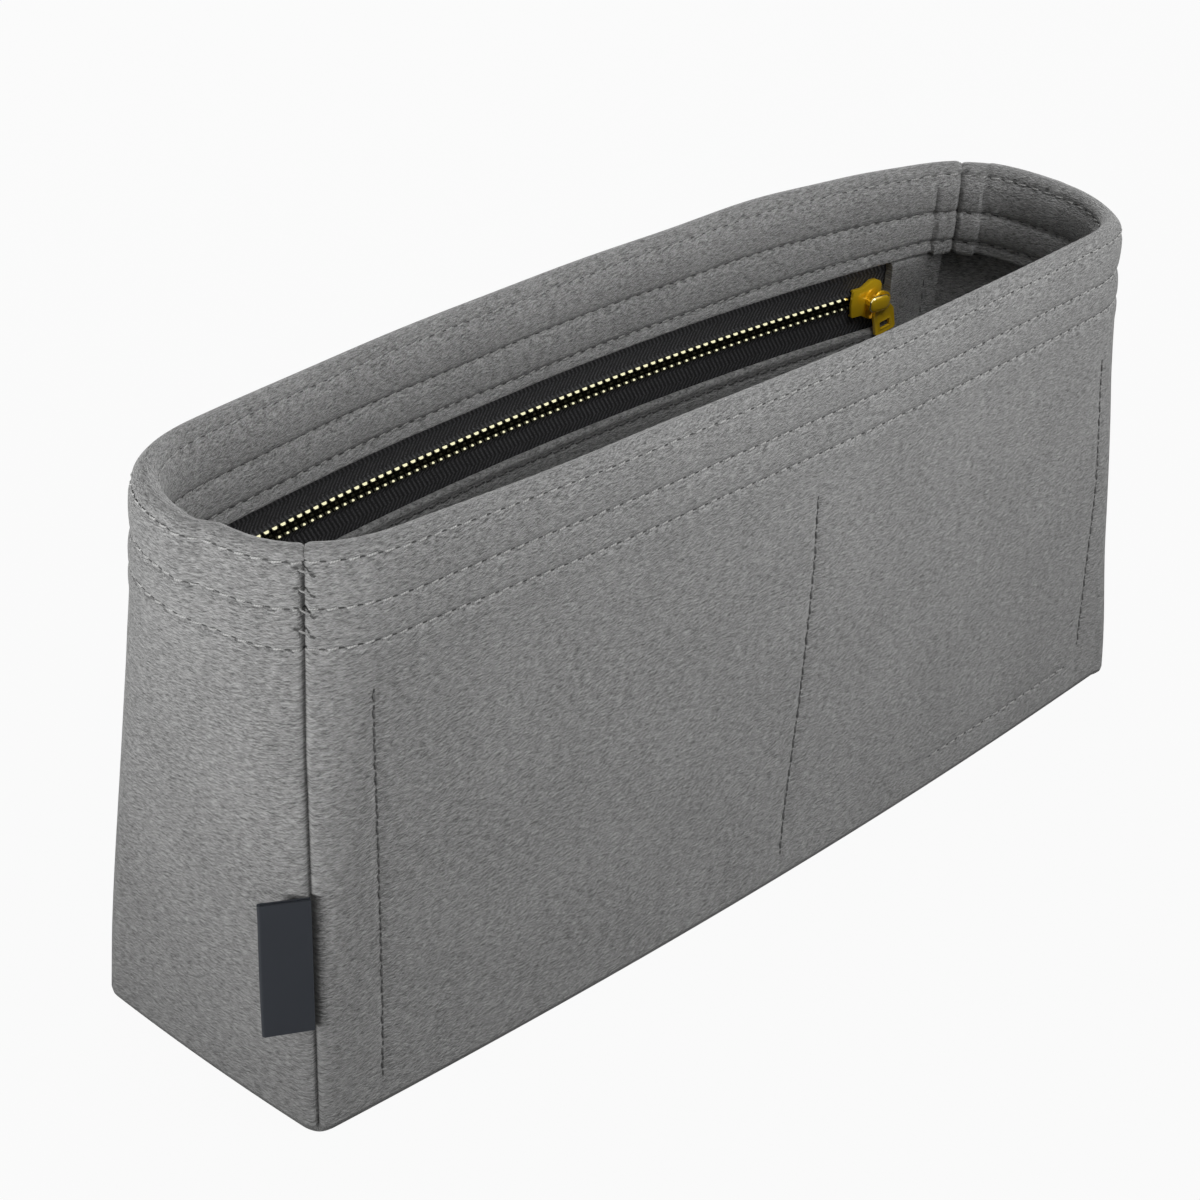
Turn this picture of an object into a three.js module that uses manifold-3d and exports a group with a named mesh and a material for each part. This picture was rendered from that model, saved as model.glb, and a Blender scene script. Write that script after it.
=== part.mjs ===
// Felt organizer insert for a handbag: an open tub of two felt wraps and a base, turned hem,
// slip pockets on the front wall and a zipped pocket on the back wall. Millimetres, Z up,
// X along the tub, +Y to the zipped wall, origin at the centre of the base, where the tub stands.
import * as THREE from 'three';
import { mergeVertices } from 'three/addons/utils/BufferGeometryUtils.js';
import Module from 'manifold-3d';

const wasm = await Module();
wasm.setup();

// Tub outline, measured on the outside of the felt
const BASE_LENGTH = 297.6;
const RIM_LENGTH = 297;
const BASE_DEPTH = 73.6;
const RIM_DEPTH = 66;
const HEIGHT = 137.3;
const FRONT_BULGE = 4.8;
const BACK_BULGE_BASE = 6.8;
const BACK_BULGE_RIM = 13.2;
const END_BULGE_BASE = 0.9;
const END_BULGE_RIM = 2.3;
const BASE_CORNER = 5;
const RIM_CORNER = 29.3;
const BAND_Z = 92;
const CORNER_Z = 125;
const CORNER_GROWTH = 1.5;

// Felt and hem
const FELT = 2.6;
const EDGE_ROUND = 2.2;
const HEM_DEPTH = 25.5;
const HEM_GAP = 1.2;
const HEM_FLARE = 1.9;
const CLEAR = 0.3;

// Pockets
const SLIP_HALF_LENGTH = 136;
const SLIP_TOP_BELOW_HEM = 3;
const SLIP_SLACK = 1.6;
const SLIP_SEAM = 4;
const TAPE_FROM_RIM_END = 23.5;
const POCKET_PAST_TAPE = 16;
const TAPE_PAST_WINDOW = 4;
const WINDOW_ROUND = 3;
const WINDOW_DEPTH = 18.5;

// Zip
const CHAIN_BELOW_HEM = 10;
const TOOTH_PITCH = 2.76;
const TOOTH_OUT = 3.05;
const TOOTH_IN = 0.95;
const TOOTH_ROOT_WIDTH = 1.4;
const TOOTH_TIP_WIDTH = 1;
const TOOTH_THICK = 2.2;
const BEAD_IN = 1.2;
const BEAD_OUT = 2.9;
const BEAD_THICK = 1.2;
const TAPE_THICK = 0.6;
const TAPE_UNDER_HEM = 7;
const TAPE_BELOW_CHAIN = 14;
const TAPE_PAST_CHAIN = 10.5;
const TAPE_PAST_SLIDER = 12.2;

// Slider, bail and pull
const SLIDER_HALF_LENGTH = 5.5;
const SLIDER_TAIL_HALF = 3.9;
const SLIDER_NOSE_HALF = 5.6;
const SLIDER_PLATE = 0.8;
const SLIDER_LIP = 0.55;
const FLARE_FROM = -1.5;
const FLARE_TO = 1.7;
const CHANNEL_CLEAR = 0.25;
const BAIL_CLEAR = 2.7;
const BAIL_BAR = 1;
const BAIL_WIDTH = 1.6;
const SADDLE_HALF_LENGTH = 3.7;
const SADDLE_HALF_WIDTH = 2.3;
const PEG_AT = 4.2;
const PULL_THICK = 1;
const PULL_HALF_WIDTH = 3.7;
const PULL_DROP = 9.8;
const PULL_EYE = 1.4;
const PULL_EYE_OUT = 2.8;
const PULL_LEAN = 12;

// Label
const LABEL_Z = 28.5;
const LABEL_HEIGHT = 31.3;
const LABEL_WIDTH = 11.3;
const LABEL_THICK = 0.5;
const LABEL_SLIT = 0.4;

const TAPE_HALF_LENGTH = RIM_LENGTH / 2 - TAPE_FROM_RIM_END;
const ZIP_POCKET_HALF_LENGTH = TAPE_HALF_LENGTH + POCKET_PAST_TAPE;
const WINDOW_HALF_LENGTH = TAPE_HALF_LENGTH - TAPE_PAST_WINDOW;
const CHAIN_START = TAPE_PAST_CHAIN - TAPE_HALF_LENGTH;
const SLIDER_AT = TAPE_HALF_LENGTH - TAPE_PAST_SLIDER;
const HEM_Z = HEIGHT - HEM_DEPTH;
const CHAIN_Z = HEM_Z - CHAIN_BELOW_HEM;
const CHAIN_O = FELT + 0.35 + SLIDER_PLATE + CHANNEL_CLEAR + TOOTH_THICK / 2;
const PANEL_O = CHAIN_O + TAPE_THICK / 2 + CLEAR;
const SEAM_GAP = 0.3;
const Y_FRONT = Math.max(BASE_DEPTH, RIM_DEPTH) / 2 + FRONT_BULGE;
const Y_BACK = Math.max(BASE_DEPTH / 2 + BACK_BULGE_BASE, RIM_DEPTH / 2 + BACK_BULGE_RIM);
const Y_MID = (Y_BACK - Y_FRONT) / 2;
const ARC_R = ((RIM_LENGTH / 2) ** 2 + BACK_BULGE_RIM ** 2) / (2 * BACK_BULGE_RIM);
const ARC_Y = RIM_DEPTH / 2 + BACK_BULGE_RIM - ARC_R - Y_MID;

const clamp01 = (v) => Math.min(Math.max(v, 0), 1);
const lerp = (a, b, t) => a + (b - a) * t;
const smooth = (a, b, v) => {
  const t = clamp01((v - a) / (b - a));
  return t * t * (3 - 2 * t);
};
const steps = (a, b, n) => Array.from({ length: n + 1 }, (_, i) => lerp(a, b, i / n));

const felt = new THREE.MeshStandardMaterial({ color: 0x8d8d8c, roughness: 0.95, metalness: 0 });
const innerFelt = new THREE.MeshStandardMaterial({ color: 0x838382, roughness: 0.95, metalness: 0 });
const tape = new THREE.MeshStandardMaterial({ color: 0x1c1c1e, roughness: 0.9, metalness: 0 });
const brass = new THREE.MeshStandardMaterial({ color: 0xb08a34, roughness: 0.35, metalness: 1 });
const satin = new THREE.MeshStandardMaterial({ color: 0x1d2230, roughness: 0.6, metalness: 0 });

// One side of the outline at height z, trimmed where the corners begin. Sides run
// counter-clockwise from the front: 0 front, 1 right end, 2 back, 3 left end.
function side(k, t, z) {
  const h = clamp01(z / BAND_Z);
  const a = lerp(BASE_LENGTH, RIM_LENGTH, h) / 2;
  const c = lerp(BASE_DEPTH, RIM_DEPTH, h) / 2;
  const end = lerp(END_BULGE_BASE, END_BULGE_RIM, h);
  const sag = [FRONT_BULGE, end, lerp(BACK_BULGE_BASE, BACK_BULGE_RIM, h), end][k];
  const corners = [[-a, -c], [a, -c], [a, c], [-a, c]];
  const p = corners[k];
  const q = corners[(k + 1) % 4];
  const chord = Math.hypot(q[0] - p[0], q[1] - p[1]);
  const ux = (q[0] - p[0]) / chord;
  const uy = (q[1] - p[1]) / chord;
  const grown = clamp01(z / CORNER_Z) ** CORNER_GROWTH;
  const round = Math.min(lerp(BASE_CORNER, RIM_CORNER, grown), chord * 0.46) / chord;
  const radius = (chord * chord / 4 + sag * sag) / (2 * sag);
  const angle = (2 * lerp(round, 1 - round, t) - 1) * Math.asin(chord / 2 / radius);
  const along = radius * Math.sin(angle);
  const out = radius * Math.cos(angle) - radius + sag;
  return {
    x: (p[0] + q[0]) / 2 + ux * along + uy * out,
    y: (p[1] + q[1]) / 2 + uy * along - ux * out,
    nx: ux * Math.sin(angle) + uy * Math.cos(angle),
    ny: uy * Math.sin(angle) - ux * Math.cos(angle),
  };
}

// A rounded corner between two sides, tangent to both
function corner(k, t, z) {
  const p = side((k + 3) % 4, 1, z);
  const q = side(k, 0, z);
  const det = p.nx * q.ny - p.ny * q.nx;
  const dp = p.nx * p.x + p.ny * p.y;
  const dq = q.nx * q.x + q.ny * q.y;
  const mx = (dp * q.ny - dq * p.ny) / det;
  const my = (p.nx * dq - q.nx * dp) / det;
  const s = 1 - t;
  const dx = s * (mx - p.x) + t * (q.x - mx);
  const dy = s * (my - p.y) + t * (q.y - my);
  const d = Math.hypot(dx, dy);
  return {
    x: s * s * p.x + 2 * s * t * mx + t * t * q.x,
    y: s * s * p.y + 2 * s * t * my + t * t * q.y,
    nx: dy / d,
    ny: -dx / d,
    speed: 2 * d,
  };
}

// Way round the tub: u 0 to 1 is the front-left corner, 1 to 2 the front, 2 to 3 the front-right
// corner, 3 to 4 the right end, then the back-right corner, the back, its corner and the left end
function edge(u, z) {
  const w = ((u % 8) + 8) % 8;
  const k = Math.floor(w / 2);
  const t = w - 2 * k;
  return t < 1 ? corner(k, t, z) : side(k, t - 1, z);
}

function place(u, z, inset, up = z) {
  const e = edge(u, z);
  return new THREE.Vector3(e.x - e.nx * inset, e.y - e.ny * inset - Y_MID, up);
}

// The way round at which the front (u 0 to 3) or the back (u 4 to 7) passes a given x
function wayAt(x, z, back) {
  let lo = back ? 4.2 : 0.2;
  let hi = back ? 6.8 : 2.8;
  for (let i = 0; i < 40; i += 1) {
    const mid = (lo + hi) / 2;
    if ((edge(mid, z).x < x) !== back) lo = mid;
    else hi = mid;
  }
  return (lo + hi) / 2;
}

function mesh(name, points, faces, material) {
  const g = new THREE.BufferGeometry();
  g.setAttribute('position', new THREE.Float32BufferAttribute(points.flatMap((p) => [p.x, p.y, p.z]), 3));
  let volume = 0;
  for (const [a, b, c] of faces) {
    volume += points[a].dot(new THREE.Vector3().crossVectors(points[b], points[c]));
  }
  g.setIndex(faces.flatMap(([a, b, c]) => (volume < 0 ? [a, c, b] : [a, b, c])));
  g.computeVertexNormals();
  const m = new THREE.Mesh(g, material);
  m.name = name;
  return m;
}

// A closed solid through a row of rings of equal length, capped by their flat outlines
function sweep(name, rings, outlines, material) {
  const n = rings[0].length;
  const points = rings.flat();
  const faces = [];
  for (let r = 0; r + 1 < rings.length; r += 1) {
    for (let i = 0; i < n; i += 1) {
      const j = (i + 1) % n;
      const a = r * n;
      const b = a + n;
      faces.push([a + i, b + i, b + j], [a + i, b + j, a + j]);
    }
  }
  const cap = (outline, start, reverse) => {
    const flat = outline.map(([x, y]) => new THREE.Vector2(x, y));
    const turned = THREE.ShapeUtils.area(flat) < 0;
    const order = flat.map((_, i) => (turned ? n - 1 - i : i));
    for (const t of THREE.ShapeUtils.triangulateShape(order.map((i) => flat[i]), [])) {
      const [a, b, c] = t.map((i) => order[i] + start);
      faces.push(turned === reverse ? [a, b, c] : [a, c, b]);
    }
  };
  cap(outlines[0], 0, false);
  cap(outlines[1], (rings.length - 1) * n, true);
  return mesh(name, points, faces, material);
}

// Manifold helpers, for adding and cutting
function toManifold(m) {
  const g = m.geometry.clone();
  g.deleteAttribute('normal');
  g.deleteAttribute('uv');
  const w = mergeVertices(g, 1e-4);
  return new wasm.Manifold(new wasm.Mesh({
    numProp: 3,
    vertProperties: new Float32Array(w.attributes.position.array),
    triVerts: new Uint32Array(w.index.array),
  }));
}

function joined(name, meshes, material) {
  const sum = wasm.Manifold.union(meshes.map(toManifold)).getMesh();
  const points = [];
  for (let i = 0; i < sum.vertProperties.length; i += sum.numProp) {
    points.push(new THREE.Vector3(...sum.vertProperties.slice(i, i + 3)));
  }
  const faces = [];
  for (let i = 0; i < sum.triVerts.length; i += 3) faces.push([...sum.triVerts.slice(i, i + 3)]);
  return mesh(name, points, faces, material);
}

// Walls. Each wrap is one felt sheet whose top is turned in over itself as the hem.
const flareAt = (u) => HEM_FLARE * smooth(4.5, 5, u) * (1 - smooth(6, 6.5, u));

function wallSection(u) {
  const roll = FELT + HEM_GAP / 2;
  const back = FELT + HEM_GAP;
  const top = HEIGHT - roll;
  const flare = flareAt(u);
  const lean = (z) => flare * (1 - (z - HEM_Z) / (top - HEM_Z));
  const heights = [0.25, 0.45, 0.66].map((f) => f * BAND_Z / 0.66);
  const low = [...heights, HEM_Z].sort((a, b) => a - b);
  const high = CORNER_Z > HEM_Z + 2 && CORNER_Z < top - 2 ? [CORNER_Z] : [];
  const outer = [...low, ...high, top].map((z) => [0, z]);
  const fold = steps(150, 30, 4).map((d) => {
    const r = d * Math.PI / 180;
    return [roll + roll * Math.cos(r), top + roll * Math.sin(r)];
  });
  const facing = [top, ...high].map((z) => [2 * roll + lean(z), z]);
  const lip = [
    [2 * roll + lean(HEM_Z + 1), HEM_Z + 1],
    [2 * roll + flare - 0.9, HEM_Z],
    [back + flare, HEM_Z],
  ];
  const cleft = [...high.map((z) => [back + lean(z), z]), [back, top], [roll, top + HEM_GAP / 2]];
  const down = [top, ...high, ...low.slice().reverse()].map((z) => [FELT, z]);
  const foot = [[FELT, EDGE_ROUND], [FELT, 0], [EDGE_ROUND, 0], [EDGE_ROUND * 0.3, EDGE_ROUND * 0.3]];
  return [[0, EDGE_ROUND], ...outer, ...fold, ...facing, ...lip, ...cleft, ...down, ...foot];
}

function wrap(name, from) {
  const ways = [
    ...steps(0.5, 1, 4).slice(0, -1),
    ...steps(1, 2, 14).slice(0, -1),
    ...steps(2, 3, 9).slice(0, -1),
    ...steps(3, 4, 6).slice(0, -1),
    ...steps(4, 4.5, 4),
  ].map((u) => u + from);
  const way = (i, z) => {
    const half = SEAM_GAP / 2;
    if (i === 0) return ways[0] + half / edge(ways[0], z).speed;
    if (i === ways.length - 1) return ways[i] - half / edge(ways[i], z).speed;
    return ways[i];
  };
  const sections = ways.map((u) => wallSection(u % 8));
  const rings = sections.map((s, i) => s.map(([o, z]) => place(way(i, z), z, o)));
  return sweep(name, rings, [sections[0], sections.at(-1)], felt);
}

const group = new THREE.Group();
group.add(wrap('front_wrap', 0), wrap('back_wrap', 4));

// Base, inside the foot of the wraps
const baseWays = [0, 2, 4, 6].flatMap((k) => [
  ...steps(k, k + 1, k === 2 || k === 6 ? 9 : 8).slice(0, -1),
  ...steps(k + 1, k + 2, k % 4 === 0 ? 14 : 6).slice(0, -1),
]);
const baseSection = baseWays.map((u) => {
  const p = place(u, 0, FELT + CLEAR);
  return [p.x, p.y];
});
const baseRings = [0, FELT].map((z) => baseWays.map((u) => place(u, 0, FELT + CLEAR, z)));
group.add(sweep('base_panel', baseRings, [baseSection, baseSection], felt));

// Slip pockets: one felt sheet on the front wall, sewn at both sides and up the middle
const slipTop = HEM_Z - SLIP_TOP_BELOW_HEM;
const slipFoot = FELT + CLEAR;
const slipOffset = (x, z) => {
  const swell = Math.sin(Math.PI * clamp01(Math.abs(x) / (SLIP_HALF_LENGTH - SLIP_SEAM))) ** 2;
  return FELT + CLEAR + SLIP_SLACK * swell * clamp01(z / slipTop) ** 2;
};
const slipHeights = steps(slipFoot, slipTop - 0.8, 5);
const slipSection = (x) => [
  ...slipHeights.map((z) => [slipOffset(x, z), z]),
  [slipOffset(x, slipTop) + 0.7, slipTop],
  [slipOffset(x, slipTop) + FELT - 0.7, slipTop],
  ...slipHeights.slice().reverse().map((z) => [slipOffset(x, z) + FELT, z]),
];
const slipStops = [...steps(-SLIP_HALF_LENGTH, 0, 11), ...steps(0, SLIP_HALF_LENGTH, 11).slice(1)];
const slipSections = slipStops.map(slipSection);
const slipRings = slipStops.map((x, i) => (
  slipSections[i].map(([o, z]) => place(wayAt(x, z, false), z, o))
));
group.add(sweep('slip_pocket_panel', slipRings, [slipSections[0], slipSections.at(-1)], innerFelt));

// Zipped pocket: a felt sheet on the back wall with a long window for the zip in its top edge
const panelTop = HEM_Z - CLEAR;
const sill = HEM_Z - WINDOW_DEPTH;
const panelOffset = (x, z) => {
  const spread = 1 - smooth(TAPE_HALF_LENGTH + 0.5, ZIP_POCKET_HALF_LENGTH, Math.abs(x));
  return FELT + CLEAR + (PANEL_O - FELT - CLEAR) * spread * smooth(FELT, sill * 0.6, z);
};
const topAt = (x) => {
  const into = WINDOW_HALF_LENGTH - Math.abs(x);
  if (into < 0) return panelTop;
  const r = WINDOW_ROUND;
  return into > r ? sill : sill + r - Math.sqrt(r * r - (r - into) ** 2);
};
const panelSection = (x) => {
  const top = topAt(x);
  const heights = [...steps(slipFoot, sill - FELT * 1.5, 5), top - 0.7];
  return [
    ...heights.map((z) => [panelOffset(x, z), z]),
    [panelOffset(x, top) + 0.6, top],
    [panelOffset(x, top) + FELT - 0.6, top],
    ...heights.slice().reverse().map((z) => [panelOffset(x, z) + FELT, z]),
  ];
};
const halfStops = [
  ...steps(0, WINDOW_HALF_LENGTH - WINDOW_ROUND, 9),
  WINDOW_HALF_LENGTH - WINDOW_ROUND * 0.5,
  WINDOW_HALF_LENGTH - WINDOW_ROUND * 0.13,
  WINDOW_HALF_LENGTH,
  WINDOW_HALF_LENGTH + 0.05,
  ...steps(TAPE_HALF_LENGTH + 0.5, ZIP_POCKET_HALF_LENGTH, 4),
];
const panelStops = [...halfStops.slice(1).reverse().map((x) => -x), ...halfStops];
const panelSections = panelStops.map(panelSection);
const panelRings = panelStops.map((x, i) => (
  panelSections[i].map(([o, z]) => place(wayAt(x, z, true), z, o))
));
group.add(sweep('zip_pocket_panel', panelRings, [panelSections[0], panelSections.at(-1)], innerFelt));

// Zip. Everything on it lies on one upright cylinder, so the slider keeps to its track.
// s is the length along the chain, o the depth in from the outside of the wall, x and z
// the place beside that point, along the chain and above it.
function byChain(s, x, o, z) {
  const angle = s / (ARC_R - CHAIN_O);
  return new THREE.Vector3(
    (ARC_R - o) * Math.sin(angle) + x * Math.cos(angle),
    ARC_Y + (ARC_R - o) * Math.cos(angle) - x * Math.sin(angle),
    CHAIN_Z + z,
  );
}

function alongZip(name, section, from, to, parts, material) {
  const rings = steps(from, to, parts).map((s) => section.map(([o, z]) => byChain(s, 0, o, z)));
  return sweep(name, rings, [section, section], material);
}

const ARC_PARTS = 24;
const tapeO = [CHAIN_O - TAPE_THICK / 2, CHAIN_O + TAPE_THICK / 2];
const tuck = 0.75;
const upperTape = [
  [tapeO[0], TOOTH_OUT + CLEAR],
  [tapeO[1], TOOTH_OUT + CLEAR],
  [tapeO[1], CHAIN_BELOW_HEM - 0.5],
  [tapeO[1] - tuck, CHAIN_BELOW_HEM + TAPE_UNDER_HEM],
  [tapeO[0] - tuck, CHAIN_BELOW_HEM + TAPE_UNDER_HEM],
  [tapeO[0], CHAIN_BELOW_HEM - 0.5],
];
const lowerTape = [
  [tapeO[0], -TAPE_BELOW_CHAIN],
  [tapeO[1], -TAPE_BELOW_CHAIN],
  [tapeO[1], -TOOTH_OUT - CLEAR],
  [tapeO[0], -TOOTH_OUT - CLEAR],
];
group.add(alongZip('upper_tape', upperTape, -TAPE_HALF_LENGTH, TAPE_HALF_LENGTH, ARC_PARTS, tape));
group.add(alongZip('lower_tape', lowerTape, -TAPE_HALF_LENGTH, TAPE_HALF_LENGTH, ARC_PARTS, tape));

// A straight solid set on the chain at s, through an outline in length and height that is
// given a depth and a scale at each level
function onChain(name, outline, s, levels, material) {
  const rings = levels.map(([o, scale = 1]) => (
    outline.map(([x, z]) => byChain(s, x * scale, o, z * scale))
  ));
  return sweep(name, rings, [outline, outline], material);
}

// Rows of teeth, each crimped on the beaded edge of its tape
const nose = SLIDER_AT + SLIDER_HALF_LENGTH;
const lastTooth = SLIDER_AT + 0.2;

function toothRow(name, up, start) {
  const count = Math.floor((lastTooth - start) / TOOTH_PITCH);
  const outline = [
    [-TOOTH_ROOT_WIDTH / 2, TOOTH_OUT * up],
    [-TOOTH_TIP_WIDTH / 2, -TOOTH_IN * up],
    [TOOTH_TIP_WIDTH / 2, -TOOTH_IN * up],
    [TOOTH_ROOT_WIDTH / 2, TOOTH_OUT * up],
  ];
  const bead = [
    [CHAIN_O - BEAD_THICK / 2, BEAD_IN * up],
    [CHAIN_O + BEAD_THICK / 2, BEAD_IN * up],
    [CHAIN_O + BEAD_THICK / 2, BEAD_OUT * up],
    [CHAIN_O - BEAD_THICK / 2, BEAD_OUT * up],
  ];
  const pieces = [alongZip('', bead, CHAIN_START - 0.8, nose + 0.1, ARC_PARTS, brass)];
  const faces = [[CHAIN_O - TOOTH_THICK / 2], [CHAIN_O + TOOTH_THICK / 2]];
  for (let i = 0; i <= count; i += 1) {
    pieces.push(onChain('', outline, start + i * TOOTH_PITCH, faces, brass));
  }
  return joined(name, pieces, brass);
}

group.add(toothRow('upper_teeth', 1, CHAIN_START));
group.add(toothRow('lower_teeth', -1, CHAIN_START + TOOTH_PITCH / 2));

// Stops at both ends of the chain
const stopO = [[CHAIN_O - TOOTH_THICK / 2 - 0.1], [CHAIN_O + TOOTH_THICK / 2 + 0.1]];
const topStop = (up) => [
  [0.3, BEAD_IN * up],
  [1.9, BEAD_IN * up],
  [1.9, TOOTH_OUT * up],
  [0.3, TOOTH_OUT * up],
];
group.add(onChain('upper_top_stop', topStop(1), nose, stopO, brass));
group.add(onChain('lower_top_stop', topStop(-1), nose, stopO, brass));
const bottomStop = [[-4.2, -TOOTH_OUT], [-1.1, -TOOTH_OUT], [-1.1, TOOTH_OUT], [-4.2, TOOTH_OUT]];
group.add(onChain('bottom_stop', bottomStop, CHAIN_START, stopO, brass));

// Slider: two plates with turned lips, held together by a wedge between the parted rows
const track = TOOTH_THICK / 2 + CHANNEL_CLEAR;
const face = track + SLIDER_PLATE;
const mirror = (line) => [...line, ...line.slice().reverse().map(([x, z]) => [x, -z])];
const L = SLIDER_HALF_LENGTH;
const tail = SLIDER_TAIL_HALF;
const wide = SLIDER_NOSE_HALF;
const plate = mirror([
  [-L, 0.9], [-L + 0.4, tail - 0.3], [-L + 0.8, tail], [FLARE_FROM, tail], [FLARE_TO, wide],
  [L - 1.9, wide], [L - 0.7, wide - 0.6], [L - 0.1, wide - 1.6], [L, 2.4], [L - 0.9, 0.6],
]);
const lip = [
  [-L + 0.6, tail - SLIDER_LIP], [FLARE_FROM + 0.1, tail - SLIDER_LIP],
  [FLARE_TO + 0.1, wide - SLIDER_LIP], [L - 1, wide - SLIDER_LIP], [L - 1.9, wide], [FLARE_TO, wide],
  [FLARE_FROM, tail], [-L + 0.8, tail],
];
const wedge = mirror([[L - 4, 0.1], [L - 2.6, 0.85], [L - 1.3, 0.55]]);
const at = (outline, o0, o1) => (
  onChain('', outline, SLIDER_AT, [[CHAIN_O + o0], [CHAIN_O + o1]], brass)
);
const lipDown = lip.map(([x, z]) => [x, -z]);
const slot = TAPE_THICK / 2 + CLEAR;
group.add(joined('slider_body', [
  at(plate, track, face),
  at(plate, -face, -track),
  at(lip, slot, track + 0.1),
  at(lipDown, slot, track + 0.1),
  at(lip, -track - 0.1, -slot),
  at(lipDown, -track - 0.1, -slot),
  at(wedge, -track - 0.1, track + 0.1),
], brass));

// Bail, an arch along the slider under a domed saddle. The pull's eye hangs on its leg at the nose,
// with just room for the eye between that leg and the rear one.
const leg = 0.7;
const rear = PEG_AT - PULL_EYE_OUT - leg - 0.4;
const foot = face + 0.05;
const crown = face + BAIL_CLEAR;
const arch = [
  [PEG_AT - leg, foot], [PEG_AT + leg, foot], [PEG_AT + leg, crown + 0.35], [PEG_AT, crown + BAIL_BAR],
  [rear + 0.3, crown + BAIL_BAR], [rear - leg, crown + 0.1], [rear - leg, foot], [rear + leg, foot],
  [rear + leg, crown - 0.3], [rear + leg + 0.3, crown], [PEG_AT - leg, crown],
];
const archRings = [-BAIL_WIDTH / 2, BAIL_WIDTH / 2].map((z) => (
  arch.map(([x, o]) => byChain(SLIDER_AT, x, CHAIN_O + o, z))
));
const saddle = mirror([
  [-SADDLE_HALF_LENGTH, SADDLE_HALF_WIDTH * 0.45],
  [-SADDLE_HALF_LENGTH + 0.9, SADDLE_HALF_WIDTH * 0.9],
  [-SADDLE_HALF_LENGTH / 3, SADDLE_HALF_WIDTH],
  [SADDLE_HALF_LENGTH / 3, SADDLE_HALF_WIDTH],
  [SADDLE_HALF_LENGTH - 0.9, SADDLE_HALF_WIDTH * 0.9],
  [SADDLE_HALF_LENGTH, SADDLE_HALF_WIDTH * 0.45],
]);
const dome = [[0.05, 1], [0.5, 1], [0.9, 0.88], [1.2, 0.66], [1.35, 0.4]].map(([rise, scale]) => (
  [CHAIN_O + crown + rise * BAIL_BAR, scale]
));
group.add(joined('slider_bail', [
  sweep('', archRings, [arch, arch], brass),
  onChain('', saddle, SLIDER_AT + (PEG_AT + rear) / 2, dome, brass),
], brass));

// Pull: a flat tab with a round eye and a window near its end, hanging a little towards the nose
const shoulder = -34 * Math.PI / 180;
const pullShape = new THREE.Shape();
pullShape.absarc(0, 0, PULL_EYE_OUT, shoulder, Math.PI - shoulder, false);
pullShape.lineTo(-PULL_HALF_WIDTH, -3.6);
pullShape.lineTo(-PULL_HALF_WIDTH, -PULL_DROP + 0.6);
pullShape.lineTo(-PULL_HALF_WIDTH + 0.6, -PULL_DROP);
pullShape.lineTo(PULL_HALF_WIDTH - 0.6, -PULL_DROP);
pullShape.lineTo(PULL_HALF_WIDTH, -PULL_DROP + 0.6);
pullShape.lineTo(PULL_HALF_WIDTH, -3.6);
pullShape.closePath();
const eye = new THREE.Path();
eye.absarc(0, 0, PULL_EYE, 0, Math.PI * 2, true);
const slotHalf = PULL_HALF_WIDTH * 0.5;
const slotLow = -PULL_DROP + 1.5;
const windowPath = new THREE.Path([
  [-slotHalf, slotLow], [-slotHalf, slotLow + 2.2], [slotHalf, slotLow + 2.2], [slotHalf, slotLow],
].map(([x, y]) => new THREE.Vector2(x, y)));
windowPath.closePath();
pullShape.holes.push(eye, windowPath);
const pullGeometry = new THREE.ExtrudeGeometry(pullShape, {
  depth: PULL_THICK,
  bevelEnabled: false,
  curveSegments: 14,
});
pullGeometry.rotateZ(PULL_LEAN * Math.PI / 180);
const pullO = PANEL_O + FELT + CLEAR;
const sliderAngle = SLIDER_AT / (ARC_R - CHAIN_O);
const tangent = new THREE.Vector3(Math.cos(sliderAngle), -Math.sin(sliderAngle), 0);
const inward = new THREE.Vector3(-Math.sin(sliderAngle), -Math.cos(sliderAngle), 0);
const peg = byChain(SLIDER_AT, PEG_AT, pullO, 0);
const pullFrame = new THREE.Matrix4().makeBasis(tangent, new THREE.Vector3(0, 0, 1), inward);
pullFrame.setPosition(peg);
pullGeometry.applyMatrix4(pullFrame);
const pull = new THREE.Mesh(pullGeometry, brass);
pull.name = 'pull_tab';
group.add(pull);

// Woven label: a folded strip that stands out of the seam at the front-left corner
const seamAt = (z) => place(0.5, z, -LABEL_THICK - LABEL_SLIT / 2 - CLEAR);
const reach = new THREE.Vector2(-0.86, 0.48).normalize();
const across = new THREE.Vector2(-reach.y, reach.x);
const half = LABEL_THICK + LABEL_SLIT / 2;
const labelOutline = [
  [0, -half], [LABEL_WIDTH - half, -half], [LABEL_WIDTH - half * 0.3, -half * 0.7], [LABEL_WIDTH, 0],
  [LABEL_WIDTH - half * 0.3, half * 0.7], [LABEL_WIDTH - half, half], [0, half],
  [0, LABEL_SLIT / 2], [LABEL_WIDTH - half, LABEL_SLIT / 2],
  [LABEL_WIDTH - half, -LABEL_SLIT / 2], [0, -LABEL_SLIT / 2],
];
const labelRings = [LABEL_Z, LABEL_Z + LABEL_HEIGHT].map((z) => labelOutline.map(([a, b]) => (
  new THREE.Vector3(
    seamAt(z).x + reach.x * a + across.x * b,
    seamAt(z).y + reach.y * a + across.y * b,
    z,
  )
)));
group.add(sweep('side_label', labelRings, [labelOutline, labelOutline], satin));

export default group;
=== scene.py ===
"""Felt organizer insert for a handbag: felt, thread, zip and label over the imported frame."""
import math

import bpy
import numpy as np
from mathutils import Matrix, Vector


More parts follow.
